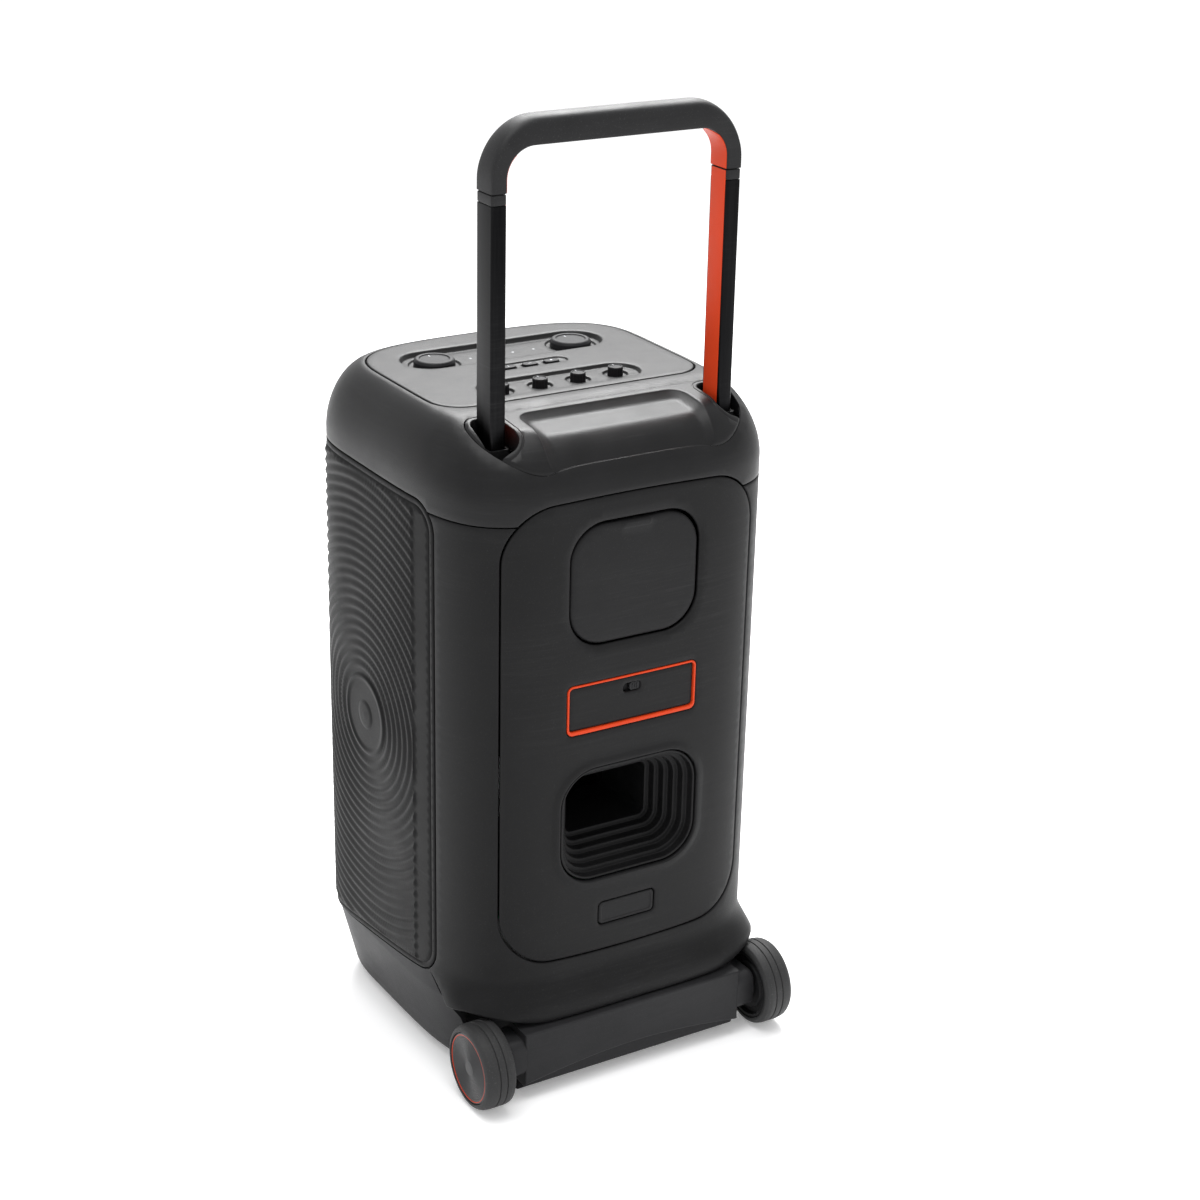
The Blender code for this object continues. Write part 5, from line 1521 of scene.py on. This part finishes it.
def make_grille():
    """The perforated front, bent to the plan, with a solid rolled rim."""
    border, row = 0.0050, HOLE_PITCH * math.sqrt(3) / 2
    outline = rounded_rect(GRILLE_LOW, GRILLE_HIGH, GRILLE_TURN, 10)
    columns = int((GRILLE_HIGH[0] - GRILLE_LOW[0]) / HOLE_PITCH) + 2
    rows = int((GRILLE_HIGH[1] - GRILLE_LOW[1]) / row) + 2
    spots = np.array([(GRILLE_LOW[0] + HOLE_PITCH * (i + 0.5 * (j % 2)), GRILLE_LOW[1] + row * j)
                      for j in range(rows) for i in range(columns)])
    fits = inside_depth(spots, np.asarray(outline)) > border
    faces = []
    for j in range(rows - 1):
        for i in range(columns - 1):
            here, above, lean = j * columns + i, (j + 1) * columns + i, j % 2
            faces += [(here, here + 1, above + lean), (above + 1, above, here + 1 - lean)]
    faces = [face for face in faces if fits[list(face)].all()]
    lattice = bare_mesh("grille_lattice", [(x, z, 0.0) for x, z in spots.tolist()], faces)
    values = {"Opening": HOLE_SHARE, "Thickness": 0.0010, "Finish": FINISH["grille"]}
    mesh = run_tree(PERFORATION_TREE, lattice, values, "grille_sheet")
    flat = np.empty(len(mesh.vertices) * 3)
    mesh.vertices.foreach_get("co", flat)
    flat = flat.reshape(-1, 3)
    bent = np.column_stack((flat[:, 0], front_y(flat[:, 0], 0.0026) - flat[:, 2], flat[:, 1]))
    mesh.vertices.foreach_set("co", bent.ravel())
    place_piece("grille_sheet", mesh, "cabinet", "grille", ["front_grille"])
    rim = soften([(0.0002, 0.0026), (0.0002, 0.0011), (0.0085, 0.0011), (0.0085, 0.0030)], 0.0006)
    rings = []
    for inward, depth in rim:
        ring = shift(densify(outline, 0.004), inward)
        depths = front_y(ring[:, 0], depth)
        rings.append([(x, y, z) for (x, z), y in zip(ring.tolist(), depths.tolist())])
    place_piece("grille_rim", skin_rings("grille_rim", rings, closed=True), "cabinet", "grille")


def screw_head():
    """A small domed head with a cross recess, facing the front."""
    head = lathe("screw_head", [(0.0, 0.0), (0.0026, 0.0), (0.0026, 0.0004), (0.0020, 0.0011), (0.0, 0.0014)],
                 "-Y", (0.0, 0.0, 0.0), 24, closed=False)
    for half_x, half_z in ((0.0015, 0.0003), (0.0003, 0.0015)):
        slot = centred_rect(half_x, half_z, 0.0001, (0.0, 0.0), 2)
        head = cut(head, block("screw_slot", slot, "XZ", -0.0020, -0.0007, 0.00005))
    return head


def make_drivers():
    """Both woofers with their light rings, and the two tweeters."""
    screws = []
    for level, z in WOOFER_HEIGHTS.items():
        centre = (0.0, BAFFLE_Y, z)
        frame = soften([(0.0770, 0.0048), (0.0838, 0.0040), (0.0838, 0.0004), (0.0725, 0.0004),
                        (0.0690, -0.0180), (0.0480, -0.0620), (0.0180, -0.0620), (0.0180, -0.0590),
                        (0.0455, -0.0590), (0.0708, 0.0010)], 0.0010)
        mesh = lathe(f"woofer_basket_{level}", frame, "-Y", centre, 96)
        place_piece(f"woofer_basket_{level}", mesh, "cabinet", "driver_frame", [f"woofer_frame_{level}"])
        roll = [(0.0662 - 0.0062 * math.cos(turn), 0.0006 + 0.0062 * math.sin(turn))
                for turn in np.linspace(0.0, math.pi, 17).tolist()]
        cone = [(0.0, -0.0120), (0.0100, -0.0134), (0.0200, -0.0190), (0.0232, -0.0240), (0.0590, 0.0000)]
        cone += roll + [(0.0724, -0.0004), (0.0600, -0.0014), (0.0240, -0.0290), (0.0165, -0.0290),
                        (0.0165, -0.0480), (0.0, -0.0480)]
        mesh = lathe(f"woofer_membrane_{level}", cone, "-Y", centre, 96, closed=False)
        place_piece(f"woofer_membrane_{level}", mesh, "cabinet", "cone", [f"woofer_cone_{level}"])
        magnet = soften([(0.0160, -0.0625), (0.0470, -0.0625), (0.0470, -0.0870), (0.0160, -0.0870)], 0.0016)
        mesh = lathe(f"magnet_ring_{level}", magnet, "-Y", centre, 72)
        place_piece(f"magnet_ring_{level}", mesh, "cabinet", "magnet", [f"woofer_magnet_{level}"])
        ring = soften([(0.0876, 0.0079), (0.0924, 0.0079), (0.0924, 0.0003), (0.0876, 0.0003)], 0.0020)
        mesh = lathe(f"light_hoop_{level}", ring, "-Y", centre, 112)
        place_piece(f"light_hoop_{level}", mesh, "cabinet", "diffuser", [f"light_ring_{level}"])
        for turn in range(8):
            angle = math.tau * (turn + 0.5) / 8
            screws.append((0.0803 * math.cos(angle), BAFFLE_Y - 0.0038, z + 0.0803 * math.sin(angle)))
    scatter("driver_screws", screw_head(), screws, "cabinet", "axle")
    for name in ("left", "right"):
        low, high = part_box(f"tweeter_{name}")
        radius, front = (high.x - low.x) / 2, BAFFLE_Y - low.y
        horn = [(0.0, front - 0.0004), (0.0050, front - 0.0010), (0.0085, front - 0.0034),
                (0.0092, front - 0.0040), (0.0120, front - 0.0034), (radius - 0.0050, front - 0.0006),
                (radius - 0.0042, front), (radius - 0.0006, front - 0.0004), (radius, front - 0.0012),
                (radius, 0.0004), (radius - 0.0040, 0.0004)]
        back = BAFFLE_Y - high.y
        horn += [(radius - 0.0045, back), (0.0, back)] if back < 0 else [(0.0, 0.0004)]
        centre = ((low.x + high.x) / 2, BAFFLE_Y, (low.z + high.z) / 2)
        mesh = lathe(f"tweeter_horn_{name}", horn, "-Y", centre, 80, closed=False)
        place_piece(f"tweeter_horn_{name}", mesh, "cabinet", "driver_frame", [f"tweeter_{name}"])


# ---- controls ----
FLUTES, FLUTE_CUT = 18, 0.07


def fluted(name, radius, low_z, high_z, centre):
    """A knob: fluted sides under a plain chamfered top with a shallow dish."""
    samples = FLUTES * 8
    levels = [(0.90, low_z, 0.0), (1.0, low_z + 0.0004, 0.5), (1.0, low_z + 0.0010, 1.0),
              (0.98, high_z - 0.0020, 1.0), (0.98, high_z - 0.0013, 0.0), (0.97, high_z - 0.0008, 0.0),
              (0.90, high_z - 0.0001, 0.0), (0.84, high_z, 0.0), (0.78, high_z, 0.0),
              (0.70, high_z - 0.0005, 0.0), (0.20, high_z - 0.0006, 0.0)]
    rings = []
    for share, z, cutting in levels:
        ring = []
        for i in range(samples):
            angle = math.tau * i / samples
            groove = FLUTE_CUT * cutting * max(0.0, math.cos(FLUTES * angle)) ** 2
            reach = radius * share * (1.0 - groove)
            ring.append((centre[0] + reach * math.cos(angle), centre[1] + reach * math.sin(angle), z))
        rings.append(ring)
    return skin_rings(name, rings)


def make_controls():
    """Dials, knobs and keys, with their pointer marks and the small printed dots round them."""
    for name, x in (("left", DIAL_X), ("right", -DIAL_X)):
        low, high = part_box(f"dial_{name}")
        radius, top = (high.x - low.x) / 2, high.z
        centre = ((low.x + high.x) / 2, (low.y + high.y) / 2, 0.0)
        profile = [(0.0, low.z), (radius - 0.0004, low.z), (radius, low.z + 0.0006), (radius, top - 0.0026),
                   (radius - 0.0012, top - 0.0007), (radius - 0.0024, top), (radius - 0.0050, top),
                   (radius - 0.0056, top - 0.0009), (radius - 0.0064, top - 0.0011), (0.0, top - 0.0014)]
        profile = soften(profile, 0.0003, closed=False)
        mesh = lathe(f"dial_face_{name}", profile, "Z", centre, 112, closed=False)
        place_piece(f"dial_face_{name}", mesh, f"dial_{name}", "knob", [f"dial_{name}"])
        bar = rounded_rect((centre[0] - 0.0004, centre[1] - 0.0120), (centre[0] + 0.0004, centre[1] - 0.0085),
                           0.0003, 3)
        mesh = block(f"dial_mark_{name}", bar, "XY", top - 0.0016, top - 0.0009, 0.0001)
        place_piece(f"dial_mark_{name}", mesh, f"dial_{name}", "knob", finish=PRINT)
    for index, x in enumerate(KNOB_PLACES, start=1):
        low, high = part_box(f"mix_knob_{index}")
        centre = ((low.x + high.x) / 2, (low.y + high.y) / 2)
        mesh = fluted(f"knob_cap_{index}", (high.x - low.x) / 2, low.z, high.z, centre)
        place_piece(f"knob_cap_{index}", mesh, f"mix_knob_{index}", "knob", [f"mix_knob_{index}"])
        bar = rounded_rect((centre[0] - 0.0003, centre[1] - 0.0056), (centre[0] + 0.0003, centre[1] - 0.0030),
                           0.0002, 3)
        mesh = block(f"knob_mark_{index}", bar, "XY", high.z - 0.0008, high.z + 0.00005, 0.00008)
        place_piece(f"knob_mark_{index}", mesh, f"mix_knob_{index}", "knob", finish=PRINT)
    signs = (circle((0.0, 0.0), 0.0012, 24),
             rounded_rect((-0.0018, -0.0003), (0.0018, 0.0003), 0.0002, 3),
             rounded_rect((-0.0003, -0.0014), (0.0003, 0.0014), 0.0002, 3))
    for index, sign in enumerate(signs, start=1):
        low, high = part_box(f"key_{index}")
        centre = ((low.x + high.x) / 2, (low.y + high.y) / 2)
        outline = centred_rect((high.x - low.x) / 2, (high.y - low.y) / 2, 0.0043, centre, 10)
        mesh = block(f"key_cap_{index}", outline, "XY", low.z, high.z, 0.0009)
        place_piece(f"key_cap_{index}", mesh, f"key_{index}", "key", [f"key_{index}"])
        moved = [(x + centre[0], y + centre[1]) for x, y in sign]
        mesh = block(f"key_mark_{index}", moved, "XY", high.z - 0.0003, high.z + 0.00006, 0.00005)
        place_piece(f"key_mark_{index}", mesh, f"key_{index}", "key", finish=PRINT)
    make_printed_dots()


def make_printed_dots():
    """Level dots round every knob, and the row of status lights between the dials."""
    dot = block("printed_dot", circle((0.0, 0.0), 0.00045, 12), "XY", -0.0002, 0.00008, 0.00004)
    spots = []
    for x in KNOB_PLACES:
        for step in range(11):
            angle = math.radians(-90.0 + 40.0 + 28.0 * step)
            spots.append((x + 0.0130 * math.cos(angle), KNOB_Y + 0.0130 * math.sin(angle), TOP_Z - 0.0032))
    scatter("knob_level_dots", dot, spots, "cabinet", "cap", finish=PRINT)
    profile = [(0.0, -0.0006), (0.0016, -0.0006), (0.0016, 0.0001), (0.0, 0.0006)]
    lens = lathe("light_lens", soften(profile, 0.0002, closed=False), "Z", (0.0, 0.0, 0.0), 24, closed=False)
    spots = [(x, DIAL_Y - 0.0025, TOP_Z - 0.0045) for x in (-0.033, -0.011, 0.011, 0.033)]
    scatter("status_lights", lens, spots, "cabinet", "cap", finish=LENS)


SCATTER_TREE = make_scatter_tree()
PERFORATION_TREE = make_perforation_tree()
make_grille()
make_drivers()
make_controls()


# ---- the CAD solids that show as they are ----
def finish_solids():
    """Give every carried-over solid its slot's finish."""
    for entry in frame["record"]["subparts"]:
        solid = frame["nodes"][entry["node"]]
        if not solid.hide_render:
            solid.data.materials.clear()
            solid.data.materials.append(FINISH[entry["material_slot"]])


finish_solids()


# ---- floor, light and camera ----
def make_stage():
    """A pale floor that runs on past the view, lit by large soft panels."""
    bpy.ops.mesh.primitive_plane_add(size=40.0, location=(0.0, 0.0, -0.0002))
    floor = bpy.context.object
    floor.name = "studio_floor"
    finish = bpy.data.materials.new("studio_floor")
    finish.use_nodes = True
    shader = finish.node_tree.nodes["Principled BSDF"]
    tone = blend_colours(finish.node_tree, add_noise(finish.node_tree, 3.0), (0.93, 0.93, 0.935),
                         (0.95, 0.95, 0.955))
    finish.node_tree.links.new(tone, shader.inputs["Base Color"])
    shader.inputs["Roughness"].default_value = 0.7
    shader.inputs["Emission Color"].default_value = (1.0, 1.0, 1.0, 1.0)
    shader.inputs["Emission Strength"].default_value = 0.20
    floor.data.materials.append(finish)


def add_panel_light(name, place, aim, size, power):
    light = bpy.data.lights.new(name, "AREA")
    light.shape = "RECTANGLE"
    light.size, light.size_y = size
    light.energy = power
    lamp = bpy.data.objects.new(name, light)
    lamp.location = place
    lamp.rotation_euler = (Vector(aim) - Vector(place)).to_track_quat("-Z", "Y").to_euler()
    bpy.context.scene.collection.objects.link(lamp)


def make_lights():
    world = bpy.data.worlds.new("studio")
    world.use_nodes = True
    world.node_tree.nodes["Background"].inputs["Color"].default_value = (1.0, 1.0, 1.0, 1.0)
    world.node_tree.nodes["Background"].inputs["Strength"].default_value = 0.9
    bpy.context.scene.world = world
    bpy.context.scene.view_settings.view_transform = "Standard"
    add_panel_light("far_panel", (-1.25, -2.0, 1.75), (0.0, 0.0, 0.62), (1.5, 0.9), 15.0)
    add_panel_light("far_high_panel", (-0.85, -1.45, 2.45), (0.0, 0.0, 0.62), (1.3, 0.9), 95.0)
    add_panel_light("top_panel", (0.3, 0.3, 2.6), (0.0, 0.0, 0.4), (1.6, 1.6), 40.0)


def make_camera():
    """A long-lens view from behind and to the left, a little from above."""
    target, distance = Vector((-0.0405, 0.0212, 0.4070)), 2.2362
    bearing, lift, roll = math.radians(148.36), math.radians(22.18), math.radians(1.30)
    back = Vector((math.sin(bearing) * math.cos(lift), -math.cos(bearing) * math.cos(lift), math.sin(lift)))
    right = (-back).cross(Vector((0.0, 0.0, 1.0))).normalized()
    up = back.cross(right)
    across = right * math.cos(roll) + up * math.sin(roll)
    upright = up * math.cos(roll) - right * math.sin(roll)
    camera = bpy.data.objects.new("camera", bpy.data.cameras.new("camera"))
    camera.data.sensor_width = 36.0
    camera.data.lens = 73.23
    turn = Matrix((across, upright, back)).transposed().to_4x4()
    camera.matrix_world = Matrix.Translation(target + back * distance) @ turn
    bpy.context.scene.collection.objects.link(camera)
    bpy.context.scene.camera = camera


make_stage()
make_lights()
make_camera()

bpy.context.view_layer.update()
